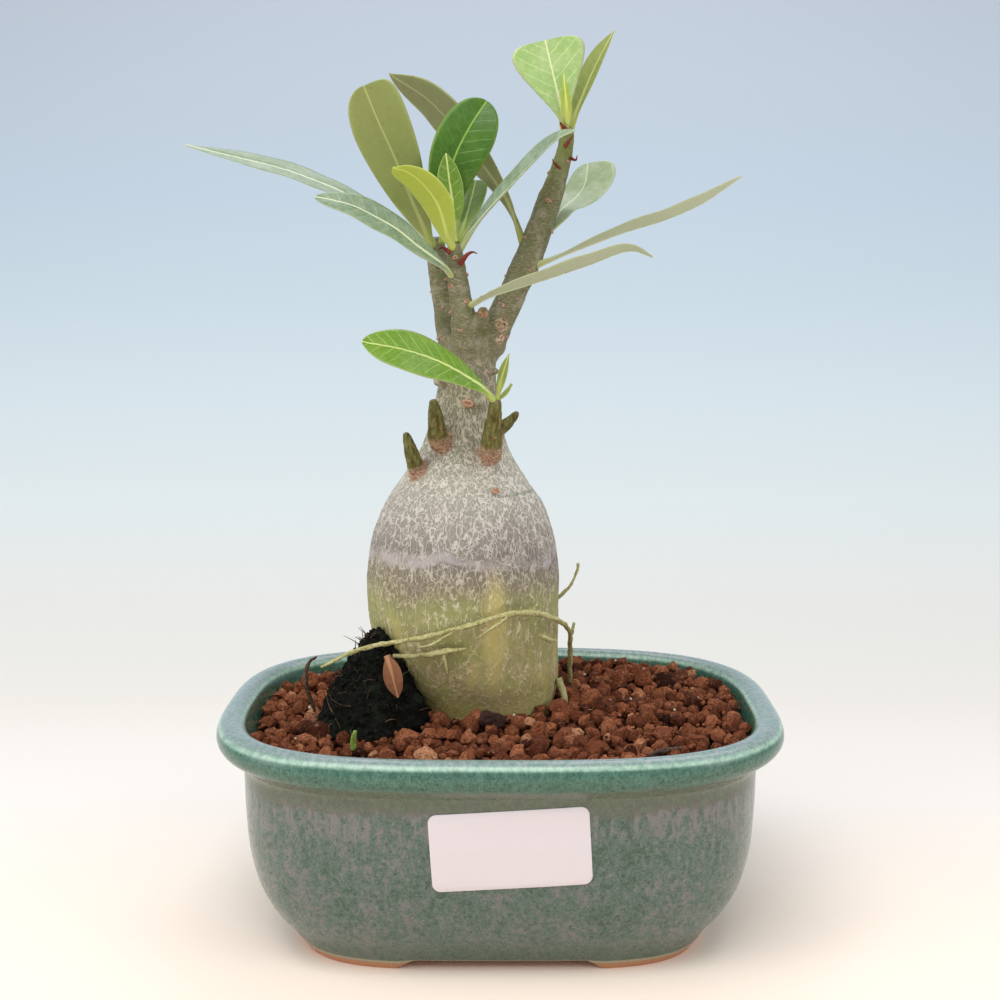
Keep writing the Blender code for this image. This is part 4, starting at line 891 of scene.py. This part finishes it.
def make_plant():
    parts = []
    n = 96
    rows = curve([(c[0], c[1], c[3], c[2]) for c in CAUDEX], 150)
    rows = [r for r in rows if r[2] > 40]
    verts = []
    for i, (x, y, z, r) in enumerate(rows):
        for k in range(n):
            a = 2 * math.pi * k / n
            d = Vector((math.cos(a), math.sin(a), 0))
            rr = r * (1 + 0.018 * noise.noise(Vector((d.x * 1.4, d.y * 1.4, z * 0.035 + 4))))
            verts.append((x + rr * d.x, y + rr * d.y, z))
    parts.append(outward(new_object("body_caudex", verts, loft_faces(len(rows), n), None)))
    for i, (key, rws) in enumerate(STEMS.items()):
        big = key.startswith("branch")
        v, f = tube_mesh(rws, 36 if big else 24, 60 if big else 30, wobble=0.07 if big else 0.12, seed=i * 3.3)
        parts.append(outward(new_object("body_" + key, v, f, None)))
        if big:
            # swollen collar where the branch leaves the trunk
            b = np.array(rws[1])
            v, f = ico(3)
            v = v * (b[3] * 1.04, b[3] * 1.04, b[3] * 1.0) + b[:3]
            parts.append(new_object("body_collar_" + key, v, f, None))
    # swollen socks where the front and right branches sit on the trunk
    for cx, cy, cz, rx, ry, rz in ((-9.2, 7.2, 159.4, 4.9, 4.7, 4.2), (-9.8, 6.0, 165.0, 4.0, 3.9, 4.6),
                                   (-0.6, 12.0, 163.4, 3.9, 3.9, 4.6), (-2.6, 12.2, 158.4, 4.3, 4.3, 4.0)):
        v, f = ico(3)
        parts.append(new_object("body_sock", v * (rx, ry, rz) + (cx, cy, cz), f, None))
    # knobs: old pruning bumps on the neck
    for cx, cy, cz, r in ((-16.4, 7.4, 149.0, 2.3), (-1.6, 8.2, 151.6, 1.4), (-6.2, 4.2, 142.8, 1.7), (-15.4, 17.0, 146.0, 1.8),
                          (-3.6, 18.4, 143.0, 2.0), (-22.2, 3.6, 124.0, 2.7), (-24.0, 1.6, 123.2, 1.5), (-2.6, 0.2, 129.2, 3.1),
                          (-16.6, 2.6, 132.8, 2.9), (-0.4, 8.4, 134.8, 2.0)):
        v, f = ico(3)
        parts.append(new_object("body_knob", v * (r, r, r * 0.8) + (cx, cy, cz), f, None))
    bm = bmesh.new()
    for o in parts:
        bm.from_mesh(o.data)
        mesh = o.data
        bpy.data.objects.remove(o, do_unlink=True)
        bpy.data.meshes.remove(mesh)
    mesh = bpy.data.meshes.new("plant_body")
    bm.to_mesh(mesh)
    bm.free()
    obj = bpy.data.objects.new("plant_body", mesh)
    bpy.context.scene.collection.objects.link(obj)
    r = obj.modifiers.new("remesh", "REMESH")
    r.mode = "VOXEL"
    r.voxel_size = 0.00046
    s = obj.modifiers.new("smooth", "SMOOTH")
    s.factor, s.iterations = 0.5, 5
    apply_modifiers(obj)
    mesh = obj.data
    count = len(mesh.vertices)
    co = np.empty(count * 3, np.float32)
    no = np.empty(count * 3, np.float32)
    mesh.vertices.foreach_get("co", co)
    mesh.vertex_normals.foreach_get("vector", no)
    co = co.reshape(-1, 3).astype(float) * 1000 - (X0, Y0, 0)
    no = no.reshape(-1, 3).astype(float)
    near = {k: distance_to_rows(co, rws) for k, rws in STEMS.items()}
    shoot = np.zeros(count)
    ring = np.zeros(count)
    for k in ("shoot_left", "shoot_centre", "shoot_right", "shoot_rear", "stub_fork"):
        d, t = near[k]
        on = smooth(0.9, 0.1, np.abs(d))
        if k != "stub_fork":
            shoot = np.maximum(shoot, on * smooth(0.26, 0.40, t))
            ring = np.maximum(ring, smooth(1.6, 0.5, np.abs(d)) * smooth(0.12, 0.20, t) * smooth(0.42, 0.30, t))
        else:
            ring = np.maximum(ring, on * smooth(0.80, 0.95, t))
    high = smooth(150.0, 162.0, co[:, 2])
    # raised corky net and lengthwise cracks, deeper on the caudex
    disp = np.zeros(count)
    amp = 0.13 * (1 - high) + 0.06 * high
    for i in range(count):
        x, y, z = co[i]
        wv = noise.noise_vector(Vector((x, y, z)) * 0.42) * 0.75
        q = Vector((x * 0.62, y * 0.62, z * 0.22)) + wv * 0.4
        f = min(abs(noise.noise(q)) * 4.5, 1.0)
        disp[i] = amp[i] * (0.55 - f) + 0.30 * noise.noise(Vector((x, y, z * 0.8)) * 0.16) + 0.05 * noise.noise(Vector((x, y, z)) * 1.9)
    disp = disp * (1 - shoot) + shoot * 0.12 * np.array([noise.noise(Vector(p) * 0.9) for p in co])
    co2 = co + no * disp[:, None] + (X0, Y0, 0)
    mesh.vertices.foreach_set("co", (co2 * MM).astype(np.float32).ravel())
    mesh.update()
    attribute(mesh, "shoot", shoot)
    attribute(mesh, "ring", ring)
    attribute(mesh, "high", high)
    flake = np.zeros(count)
    for fx, fy, fz, fr in ((-15.6, 8.6, 168.0, 3.4), (0.6, 8.2, 164.4, 2.6), (0.3, 8.6, 160.4, 2.2), (-16.6, 12.0, 160.4, 2.2), (4.6, 15.0, 168.0, 3.0)):
        dd = np.linalg.norm(co - (fx, fy, fz), axis=1)
        flake = np.maximum(flake, smooth(fr, fr * 0.45, dd))
    attribute(mesh, "flake", flake * smooth(154, 157, co[:, 2]))
    mesh.materials.clear()
    mesh.materials.append(bark_material())
    mesh.shade_smooth()
    place(obj, "bark", "plant")
    return obj


def scars():
    """Leaf scars: small raised lips with a sunken heart, on the branches and the neck."""
    m = Mat("leaf_scar", rough=0.7, spec=0.3)
    g = m.noise(0.6, 4.0)
    mat = m.done(m.ramp(g, (0.3, rgb(146, 98, 74)), (0.5, rgb(184, 142, 116)), (0.7, rgb(206, 176, 152))), 0.7, m.bump(g, 0.2, 0.8))
    rng = np.random.default_rng(21)
    verts, faces = [], []

    def scar(p, nrm, along, size, seed):
        nrm = unit(nrm)
        along = unit(np.array(along) - nrm * np.dot(nrm, along))
        side = np.cross(along, nrm)
        k, rr = 16, (0.0, 0.45, 0.75, 1.0, 1.25)
        off = len(verts)
        for i, f in enumerate(rr):
            h = (-0.10, 0.02, 0.34, 0.20, -0.25)[i] * size
            for j in range(k):
                a = 2 * math.pi * j / k
                wob = 1 + 0.16 * math.sin(2 * a + seed) + 0.1 * math.sin(3 * a + 2 * seed)
                u, v = f * size * wob * math.cos(a), 0.62 * f * size * wob * math.sin(a)
                verts.append(p + side * u + along * v + nrm * (h + (0.25 * size if v < 0 and 0.5 < f < 1.1 else 0.0)))
        for i in range(len(rr) - 1):
            for j in range(k):
                a, b = off + i * k + j, off + i * k + (j + 1) % k
                faces.append((a, b, b + k, a + k))
        base = len(verts)
        verts.append(p - nrm * 0.5 * size)
        for j in range(k):
            faces.append((off + 4 * k + j, off + 4 * k + (j + 1) % k, base))
    for key, a0 in (("branch_front", 0.3), ("branch_rear_left", 1.9), ("branch_right", 2.6)):
        pts = curve(STEMS[key], 200)
        count = 12 if key != "branch_right" else 15
        for i in range(count):
            t = 0.16 + 0.80 * (i + 0.5) / count
            q = pts[int(t * 199)]
            ax = unit(pts[min(int(t * 199) + 3, 199)][:3] - pts[max(int(t * 199) - 3, 0)][:3])
            a = a0 + i * 2.4
            s1 = unit(np.cross(ax, (0, 1, 0.1)))
            s2 = np.cross(ax, s1)
            d = math.cos(a) * s1 + math.sin(a) * s2
            scar(q[:3] + d * q[3] * 0.99, d, ax, rng.uniform(0.58, 0.88), i)
    for (x, z, a, s) in ((-5.6, 142.0, -85, 1.5), (-0.9, 151.0, -40, 1.0), (-17.6, 150.0, -150, 1.2), (2.7, 117.8, -62, 1.1), (-13.0, 144.0, 60, 1.3), (-6.0, 139.0, 100, 1.2)):
        c = [r for r in CAUDEX if r[3] <= z][-1]
        nx = [r for r in CAUDEX if r[3] > z][0]
        u = (z - c[3]) / (nx[3] - c[3])
        r = c[2] + u * (nx[2] - c[2])
        d = np.array([math.cos(math.radians(a)), math.sin(math.radians(a)), 0.1])
        scar(np.array([c[0], c[1], z]) + d * r * 1.0, d, (0, 0, 1), s, z)
    obj = outward(new_object("leaf_scars", verts, faces, mat))
    place(obj, "bark")


# ------------------------------------------------------------------ leaves
LOOKS = {
    # top colour, underside colour, vein colour, gloss (roughness), mottling colour
    "olive": (rgb(106, 132, 62), rgb(143, 152, 88), rgb(190, 194, 132), 0.42, rgb(124, 128, 84)),
    "olive_brown": (rgb(96, 112, 60), rgb(128, 130, 86), rgb(176, 176, 120), 0.42, rgb(108, 98, 68)),
    "dark": (rgb(56, 98, 8), rgb(112, 138, 60), rgb(138, 172, 70), 0.30, rgb(84, 124, 22)),
    "yellow": (rgb(162, 184, 64), rgb(172, 186, 72), rgb(214, 222, 124), 0.36, rgb(144, 168, 58)),
    "bright": (rgb(100, 138, 38), rgb(146, 168, 86), rgb(210, 222, 142), 0.28, rgb(130, 160, 62)),
    "green": (rgb(96, 124, 48), rgb(124, 140, 74), rgb(164, 180, 104), 0.34, rgb(120, 142, 70)),
    "grey": (rgb(118, 138, 108), rgb(158, 166, 124), rgb(216, 222, 188), 0.30, rgb(160, 174, 154)),
    "pale": (rgb(152, 168, 130), rgb(172, 182, 150), rgb(206, 214, 184), 0.34, rgb(188, 196, 172)),
    "beige": (rgb(138, 154, 124), rgb(176, 184, 158), rgb(214, 214, 180), 0.44, rgb(170, 170, 138)),
    "fan": (rgb(156, 188, 114), rgb(172, 194, 122), rgb(224, 234, 184), 0.26, rgb(188, 208, 156)),
    "lance": (rgb(134, 146, 66), rgb(148, 154, 82), rgb(186, 190, 118), 0.36, rgb(120, 128, 58)),
    "dry": (rgb(128, 80, 48), rgb(112, 70, 44), rgb(168, 122, 84), 0.8, rgb(84, 48, 30)),
}
# how strongly the side veins show on the upper face
VEINS = {"fan": 0.45, "bright": 0.28, "grey": 0.16, "pale": 0.16, "dark": 0.14, "green": 0.14}
_leaf_mats = {}


def leaf_material(look):
    if look in _leaf_mats:
        return _leaf_mats[look]
    top, low, vein, gloss, mottle = LOOKS[look]
    m = Mat("leaf_" + look, rough=gloss, spec=0.5)
    under = m.attr("under")
    d = m.attr("dmid")             # signed millimetres from the midrib
    along = m.attr("along")        # millimetres from the stalk
    rim = m.attr("rim")            # 1 at the margin, 0 inside
    dist = m.math("ABSOLUTE", d)
    # midrib narrows towards the tip
    half = m.math("MAXIMUM", m.math("MULTIPLY", m.attr("fade"), 0.62), 0.20)
    rib = m.step(m.math("DIVIDE", dist, half), 1.35, 0.75)
    # side veins leave the midrib at a slant and curve forward
    wv = m.math("MULTIPLY", m.math("SUBTRACT", m.noise(3.0, 2.0, seed=3), 0.5), 1.1)
    ph = m.math("ADD", m.math("SUBTRACT", along, m.math("MULTIPLY", dist, 0.72)), wv)
    ph = m.math("ADD", ph, m.math("MULTIPLY", m.math("SIGN", d), 0.7))
    saw = m.math("ABSOLUTE", m.math("SUBTRACT", m.math("FRACT", m.math("DIVIDE", ph, 3.4)), 0.5))
    side = m.step(saw, 0.070, 0.012)
    side = m.math("MULTIPLY", side, m.step(rim, 1.0, 0.72))
    mot = m.noise(1.8, 5.0, 0.65, seed=5)
    cloud = m.noise(6.0, 3.0, seed=6)
    up_col = m.mix(m.math("MULTIPLY", m.step(mot, 0.42, 0.66), 0.40), top, mottle)
    up_col = m.mix(m.math("MULTIPLY", m.step(cloud, 0.44, 0.64), 0.35), up_col, mottle)
    lo_col = m.mix(m.math("MULTIPLY", m.step(mot, 0.44, 0.68), 0.35), low, m.mix(0.5, low, mottle))
    up_col = m.mix(m.math("MULTIPLY", side, VEINS.get(look, 0.09)), up_col, vein)
    lo_col = m.mix(m.math("MULTIPLY", side, 0.06), lo_col, vein)
    up_col = m.mix(m.math("MULTIPLY", rib, 0.95), up_col, vein)
    lo_col = m.mix(m.math("MULTIPLY", rib, 0.70), lo_col, vein)
    col = m.mix(under, up_col, lo_col)
    col = m.mix(m.math("MULTIPLY", m.step(rim, 0.90, 0.99), 0.65), col, vein)
    stalk = m.step(along, 8.0, 2.0) if look != "dry" else m.math("MULTIPLY", along, 0.0)
    col = m.mix(m.math("MULTIPLY", stalk, 0.8), col, m.mix(0.7, vein, rgb(158, 172, 72)))
    if look in ("olive", "olive_brown", "beige", "dry"):
        spots = m.math("MULTIPLY", m.step(m.voronoi(2.3, "F1"), 0.13, 0.05), m.step(m.noise(7.0, 2.0, seed=9), 0.46, 0.60))
        col = m.mix(m.math("MULTIPLY", spots, 0.75), col, rgb(70, 44, 28))
    h = m.math("ADD", m.math("MULTIPLY", side, -0.5), m.math("MULTIPLY", mot, 0.35))
    nrm = m.bump(h, 0.12, 0.6)
    rough = m.mix(under, (gloss,) * 3, (min(gloss + 0.22, 0.9),) * 3)
    rough = m.math("ADD", rough, m.math("MULTIPLY", m.math("SUBTRACT", mot, 0.5), 0.2))
    m.shader.inputs["Subsurface Weight"].default_value = 0.18 if look != "dry" else 0.0
    m.shader.inputs["Subsurface Radius"].default_value = (0.6, 1.0, 0.25)
    m.shader.inputs["Subsurface Scale"].default_value = 0.0012
    _leaf_mats[look] = m.done(col, rough, nrm)
    return _leaf_mats[look]


def half_width(leaf, t, k=0):
    """Half the blade's width on side k at a share t of its length."""
    b = leaf["blunts"][k] if "blunts" in leaf else leaf["blunt"]
    wide = leaf["wides"][k] if "wides" in leaf else leaf["wide"]
    a = b * wide / (1 - wide)
    peak = wide ** a * (1 - wide) ** b
    return leaf["w"] * max(t, 1e-6) ** a * max(1 - t, 0.0) ** b / peak


def make_leaf(name, leaf, piece, slot):
    small = leaf["w"] < 2
    nt, ns = (26, 6) if small else (72, 14)
    mid = curve(leaf["mid"], 201)
    seed = sum(ord(c) for c in name) * 0.37
    length = float(np.linalg.norm(np.diff(mid, axis=0), axis=1).sum())
    verts, dm, al, rm, fd = [], [], [], [], []
    stations = []
    stout = 0.25 if small else 0.55 + 0.075 * min(leaf["w"], 9.0)
    for k in range(nt):
        u = k / (nt - 1)
        t = 1 - (1 - u) ** 1.35 if k else 0.0
        t = min(t, 0.9985)
        i = t * 200
        lo = int(i)
        p = mid[lo] + (mid[min(lo + 1, 200)] - mid[lo]) * (i - lo)
        tan = unit(mid[min(lo + 4, 200)] - mid[max(lo - 4, 0)])
        nor = (1 - t) * np.array(leaf["n0"]) + t * np.array(leaf["n1"])
        nor = unit(nor - tan * np.dot(nor, tan))
        side = np.cross(tan, nor)
        stalk_t = max(0.0, 1 - t * length / 11.0)
        w = [max(half_width(leaf, t, side_no) * q, 0.30 + stout * stalk_t ** 0.6)
             for side_no, q in enumerate(leaf.get("sides", (1.0, 1.0)))]
        thick = 0.17 + (0.75 if not small else 0.25) * stalk_t ** 1.4
        stations.append((p, tan, nor, side, w, thick, t))
    cols = ns * 2
    for p, tan, nor, side, pair, thick, t in stations:
        fade = 1 - t
        fold = leaf.get("fold", 0.0) * min(1.0, t / 0.2)
        ridge_r = (0.62 * fade + 0.10) * (0.35 if small else 1.0)
        ring = []
        for layer in (1, -1):
            idx = range(ns + 1) if layer == 1 else range(ns - 1, 0, -1)
            for j in idx:
                s = -1 + 2 * j / ns
                s = math.copysign(abs(s) ** 0.9, s)
                w = pair[s > 0]
                dist = s * w
                wavy = leaf.get("wave", 0.14) * abs(s) ** 2 * math.sin(t * length * 0.42 + seed + (1.3 if s > 0 else 0)) * min(w / 6, 1)
                lift = 0.055 * w * s * s * (1 if leaf["w"] > 2 else 3) + wavy + fold * abs(s) * w
                vein = (0.07 if leaf["look"] in ("fan", "bright") else 0.025) * math.cos(2 * math.pi * (t * length - 0.72 * abs(dist)) / 3.4) * (1 - abs(s)) * min(w / 5, 1)
                groove = -0.18 * math.exp(-(dist / 0.7) ** 2) * min(w / 4, 1) if layer == 1 else 0.0
                keel = 0.55 * ridge_r * math.exp(-(dist / max(ridge_r, 0.12)) ** 2) if layer == -1 else 0.0
                body = thick * math.sqrt(max(1 - s * s, 0.0)) if thick > 0.4 else thick * (1 - abs(s) ** 6)
                h = lift + vein + groove + layer * body - keel
                ring.append(p + side * dist + nor * h)
                dm.append(dist)
                al.append(t * length)
                rm.append(abs(s))
                fd.append(fade)
        verts += ring
    per = len(ring)
    faces = loft_faces(nt, per)
    obj = new_object(piece, verts, faces, leaf_material(leaf["look"]))
    mesh = obj.data
    attribute(mesh, "dmid", dm)
    attribute(mesh, "along", al)
    attribute(mesh, "rim", rm)
    attribute(mesh, "fade", fd)
    under = []
    for poly in mesh.polygons:
        loc = [v % per for v in poly.vertices]
        under.append(0.0 if len(poly.vertices) > 4 or (max(loc) <= ns) else 1.0)
    attribute(mesh, "under", under, "FACE")
    outward(obj)
    place(obj, slot, name)
    return obj


# ------------------------------------------------------------------ roots, peat, scraps
def root_material(name, a, b, dark):
    m = Mat(name, rough=0.7, spec=0.3)
    g = m.noise(0.7, 5.0, 0.65)
    col = m.ramp(g, (0.30, dark), (0.46, a), (0.66, b))
    col = m.mix(m.math("MULTIPLY", m.step(m.noise(5.0, 3.0, seed=4), 0.52, 0.66), 0.5), col, b)
    return m.done(col, 0.7, m.bump(g, 0.25, 0.9))


def make_roots():
    olive = root_material("root_skin", rgb(166, 164, 106), rgb(202, 194, 146), rgb(116, 90, 56))
    dark = root_material("root_dark", rgb(62, 44, 32), rgb(104, 78, 56), rgb(28, 20, 16))
    for key, rows in ROOTS.items():
        rows = [(x, y, z, r * 0.80) for x, y, z, r in rows]
        v, f = tube_mesh(rows, 16, 150 if key == "root_long" else 46, tip=0.9, wobble=0.30, seed=len(key))
        v = [np.array(p) + np.array([noise.noise(Vector(p) * 0.5), 0.4 * noise.noise(Vector(p) * 0.5 + Vector((5, 5, 5))), noise.noise(Vector(p) * 0.5 + Vector((9, 0, 3)))]) * 0.28 for p in v]
        mat = dark if key == "root_curl_dark" else olive
        obj = outward(new_object(key + "_grown", v, f, mat))
        place(obj, "dry_wood" if key == "root_curl_dark" else "root", key)
    # side rootlets and broken ends
    extra = [
        [(2.0, -16.6, 86.8, 0.55), (-2.4, -18.0, 84.0, 0.45), (-5.8, -18.2, 81.8, 0.2)],
        [(-12.0, -18.0, 83.6, 0.5), (-18.0, -17.8, 79.8, 0.4), (-22.0, -16.8, 78.6, 0.25)],
        [(20.6, 9.0, 76.4, 0.6), (21.2, 8.4, 79.6, 0.4)],
        [(9.0, -12.4, 87.4, 0.7), (10.0, -13.4, 89.6, 0.35)],
        [(-15.4, -17.2, 77.6, 0.5), (-14.6, -17.6, 74.2, 0.35), (-14.2, -17.4, 71.6, 0.2)],
        [(10.6, -9.6, 80.6, 0.6), (13.6, -9.2, 78.8, 0.7), (15.4, -7.8, 78.4, 0.3)],
        [(16.6, 6.0, 64.0, 1.1), (18.0, 5.0, 60.4, 1.0), (18.6, 4.6, 57.0, 0.9)],
    ]
    verts, faces = [], []
    for i, rows in enumerate(extra):
        v, f = tube_mesh(rows, 10, 18, wobble=0.35, seed=i * 2.0)
        off = len(verts)
        verts += v
        faces += [tuple(k + off for k in q) for q in f]
    place(outward(new_object("rootlets", verts, faces, olive)), "root")


def make_peat():
    m = Mat("old_peat", rough=0.95, spec=0.15)
    g = m.noise(1.2, 6.0, 0.7)
    col = m.ramp(g, (0.32, rgb(6, 7, 5)), (0.52, rgb(16, 17, 13)), (0.70, rgb(42, 41, 31)), (0.80, rgb(78, 74, 56)))
    col = m.mix(m.math("MULTIPLY", m.step(m.noise(6.0, 3.0, seed=3), 0.56, 0.68), 0.35), col, rgb(40, 54, 34))
    mat = m.done(col, 0.95, m.bump(g, 0.8, 1.0))
    cx, cy, ax, ay = -36.4, -7.4, 15.6, 13.4
    sides, rows = 150, 70
    verts = []
    for i in range(rows):
        s = (i + 0.6) / rows
        for k in range(sides):
            a = 2 * math.pi * k / sides
            wob = 1 + 0.07 * math.sin(3 * a + 0.7) + 0.05 * math.sin(5 * a + 2.1)
            x, y = cx + ax * s * wob * math.cos(a), cy + ay * s * wob * math.sin(a)
            dome = (1 - s ** 2.6) ** 0.75
            peak = 21.5 * math.exp(-((x + 33) / 15) ** 2 - ((y + 4) / 15) ** 2)
            h = (4.2 + peak) * dome
            p = Vector((x, y, soil_z(x, y) + h))
            rough = 1.5 * noise.noise(p * 0.22) + 0.9 * noise.noise(p * 0.55) + 0.55 * noise.noise(p * 1.3)
            d = Vector((x - cx, y - cy, h * 0.6 + 2)).normalized()
            q = p + d * rough
            verts.append((q.x, q.y, max(q.z, soil_z(x, y) - 0.8) if s > 0.9 else q.z))
    for k in range(sides):
        verts.append((cx + 0.9 * (verts[(rows - 1) * sides + k][0] - cx), cy + 0.9 * (verts[(rows - 1) * sides + k][1] - cy), 53.4))
    obj = outward(new_object("peat_lump", verts, loft_faces(rows + 1, sides), mat))
    place(obj, "peat", "peat_clump")
    # crumbs and fibres standing off the lump
    rng = np.random.default_rng(5)
    top = [Vector(v) for v in verts[:rows * sides]]
    spots = []
    for _ in range(420):
        p = top[int(rng.integers(0, len(top)))]
        spots.append((p.x, p.y, p.z + 0.1, float(rng.uniform(0.3, 1.1)), 0.0))
    grains("peat_crumbs", rng, spots, mat, 1, "peat")
    fm = root_material("peat_fibre", rgb(58, 44, 30), rgb(120, 92, 60), rgb(22, 17, 12))
    fv, ff = [], []
    for i in range(60):
        p = top[int(rng.integers(0, len(top)))]
        d = Vector((p.x - cx, p.y - cy, 6.0)).normalized() + Vector(rng.normal(size=3)) * 0.8
        d.normalize()
        e = Vector(rng.normal(size=3)) * 1.4
        ln = float(rng.uniform(1.5, 5.0))
        rws = [(*(p - d * 0.5), 0.16), (*(p + d * ln * 0.5 + e * 0.3), 0.13), (*(p + d * ln + e), 0.06)]
        v, f = tube_mesh(rws, 5, 7)
        off = len(fv)
        fv += v
        ff += [tuple(k + off for k in q) for q in f]
    place(outward(new_object("peat_fibres", fv, ff, fm)), "dry_wood")


def make_small():
    screen = Mat("screen_plastic", rough=0.5, spec=0.4)
    g = screen.noise(0.6, 4.0)
    smat = screen.done(screen.ramp(g, (0.3, rgb(22, 22, 22)), (0.7, rgb(44, 44, 42))), 0.5, screen.bump(g, 0.08, 0.6))
    for node in ("drain_screen_left", "drain_screen_right"):
        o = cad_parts[node]
        o.data.materials.clear()
        o.data.materials.append(smat)
    twig = root_material("twig_bark", rgb(60, 42, 30), rgb(96, 70, 50), rgb(30, 20, 14))
    zt = float(soil_z(42.2, -37.6))
    v, f = tube_mesh([(38.0, -39.6, zt + 1.4, 0.6), (42.2, -37.6, zt + 2.0, 0.85), (46.8, -36.0, zt + 2.2, 0.5)], 14, 40, wobble=0.3)
    place(outward(new_object("fallen_twig", v, f, twig)), "dry_wood", "twig")
    sp = root_material("sprout_skin", rgb(122, 150, 60), rgb(160, 180, 88), rgb(84, 112, 40))
    zs = float(soil_z(-38.9, -27.4))
    v, f = tube_mesh([(-38.9, -27.2, zs + 0.2, 0.85), (-38.8, -27.6, zs + 3.0, 0.8), (-38.3, -28.0, zs + 5.4, 0.55)], 14, 30, wobble=0.15)
    place(outward(new_object("young_sprout", v, f, sp)), "leaf_young", "green_sprout")
    make_leaf("dry_leaf_scrap", DRY, "dried_scrap", "dry_wood")
    # dark red bract spikes and scale leaves at the branch tips
    red = root_material("bract_red", rgb(96, 26, 22), rgb(140, 60, 44), rgb(44, 14, 12))
    rows = [
        [(-10.8, 1.6, 181.0, 0.9), (-9.0, 0.6, 183.4, 0.6), (-7.4, 0.2, 184.2, 0.3), (-6.2, 0.2, 183.8, 0.12)],
        [(-13.6, 1.6, 184.0, 0.7), (-15.4, 0.8, 185.4, 0.4), (-16.6, 0.4, 185.0, 0.15)],
        [(17.8, 10.0, 213.0, 0.6), (19.4, 9.4, 215.0, 0.3), (19.9, 9.2, 216.0, 0.1)],
        [(16.6, 9.8, 207.0, 0.5), (14.8, 9.2, 208.6, 0.25), (14.4, 9.2, 209.6, 0.1)],
        [(19.4, 10.4, 210.0, 0.5), (20.8, 10.0, 209.4, 0.3), (21.2, 9.8, 210.6, 0.1)],
        [(18.0, 9.6, 217.4, 0.8), (16.8, 9.0, 218.8, 0.4), (16.4, 8.8, 219.4, 0.15)],
    ]
    verts, faces = [], []
    for i, r in enumerate(rows):
        v, f = tube_mesh(r, 10, 18, wobble=0.2, seed=i)
        off = len(verts)
        verts += v
        faces += [tuple(k + off for k in q) for q in f]
    place(outward(new_object("dried_bracts", verts, faces, red)), "dry_wood")


studio()
make_pot()
label()
make_soil()
make_plant()
scars()
for key, row in LEAVES.items():
    look = row["look"]
    slot = "leaf_young" if look in ("yellow", "fan") or key == "leaf_young_upright" else "leaf_grey" if look in ("grey", "beige", "olive", "olive_brown") else "leaf_green"
    make_leaf(key, row, key.replace("leaf_", "blade_"), slot)
make_roots()
make_peat()
make_small()
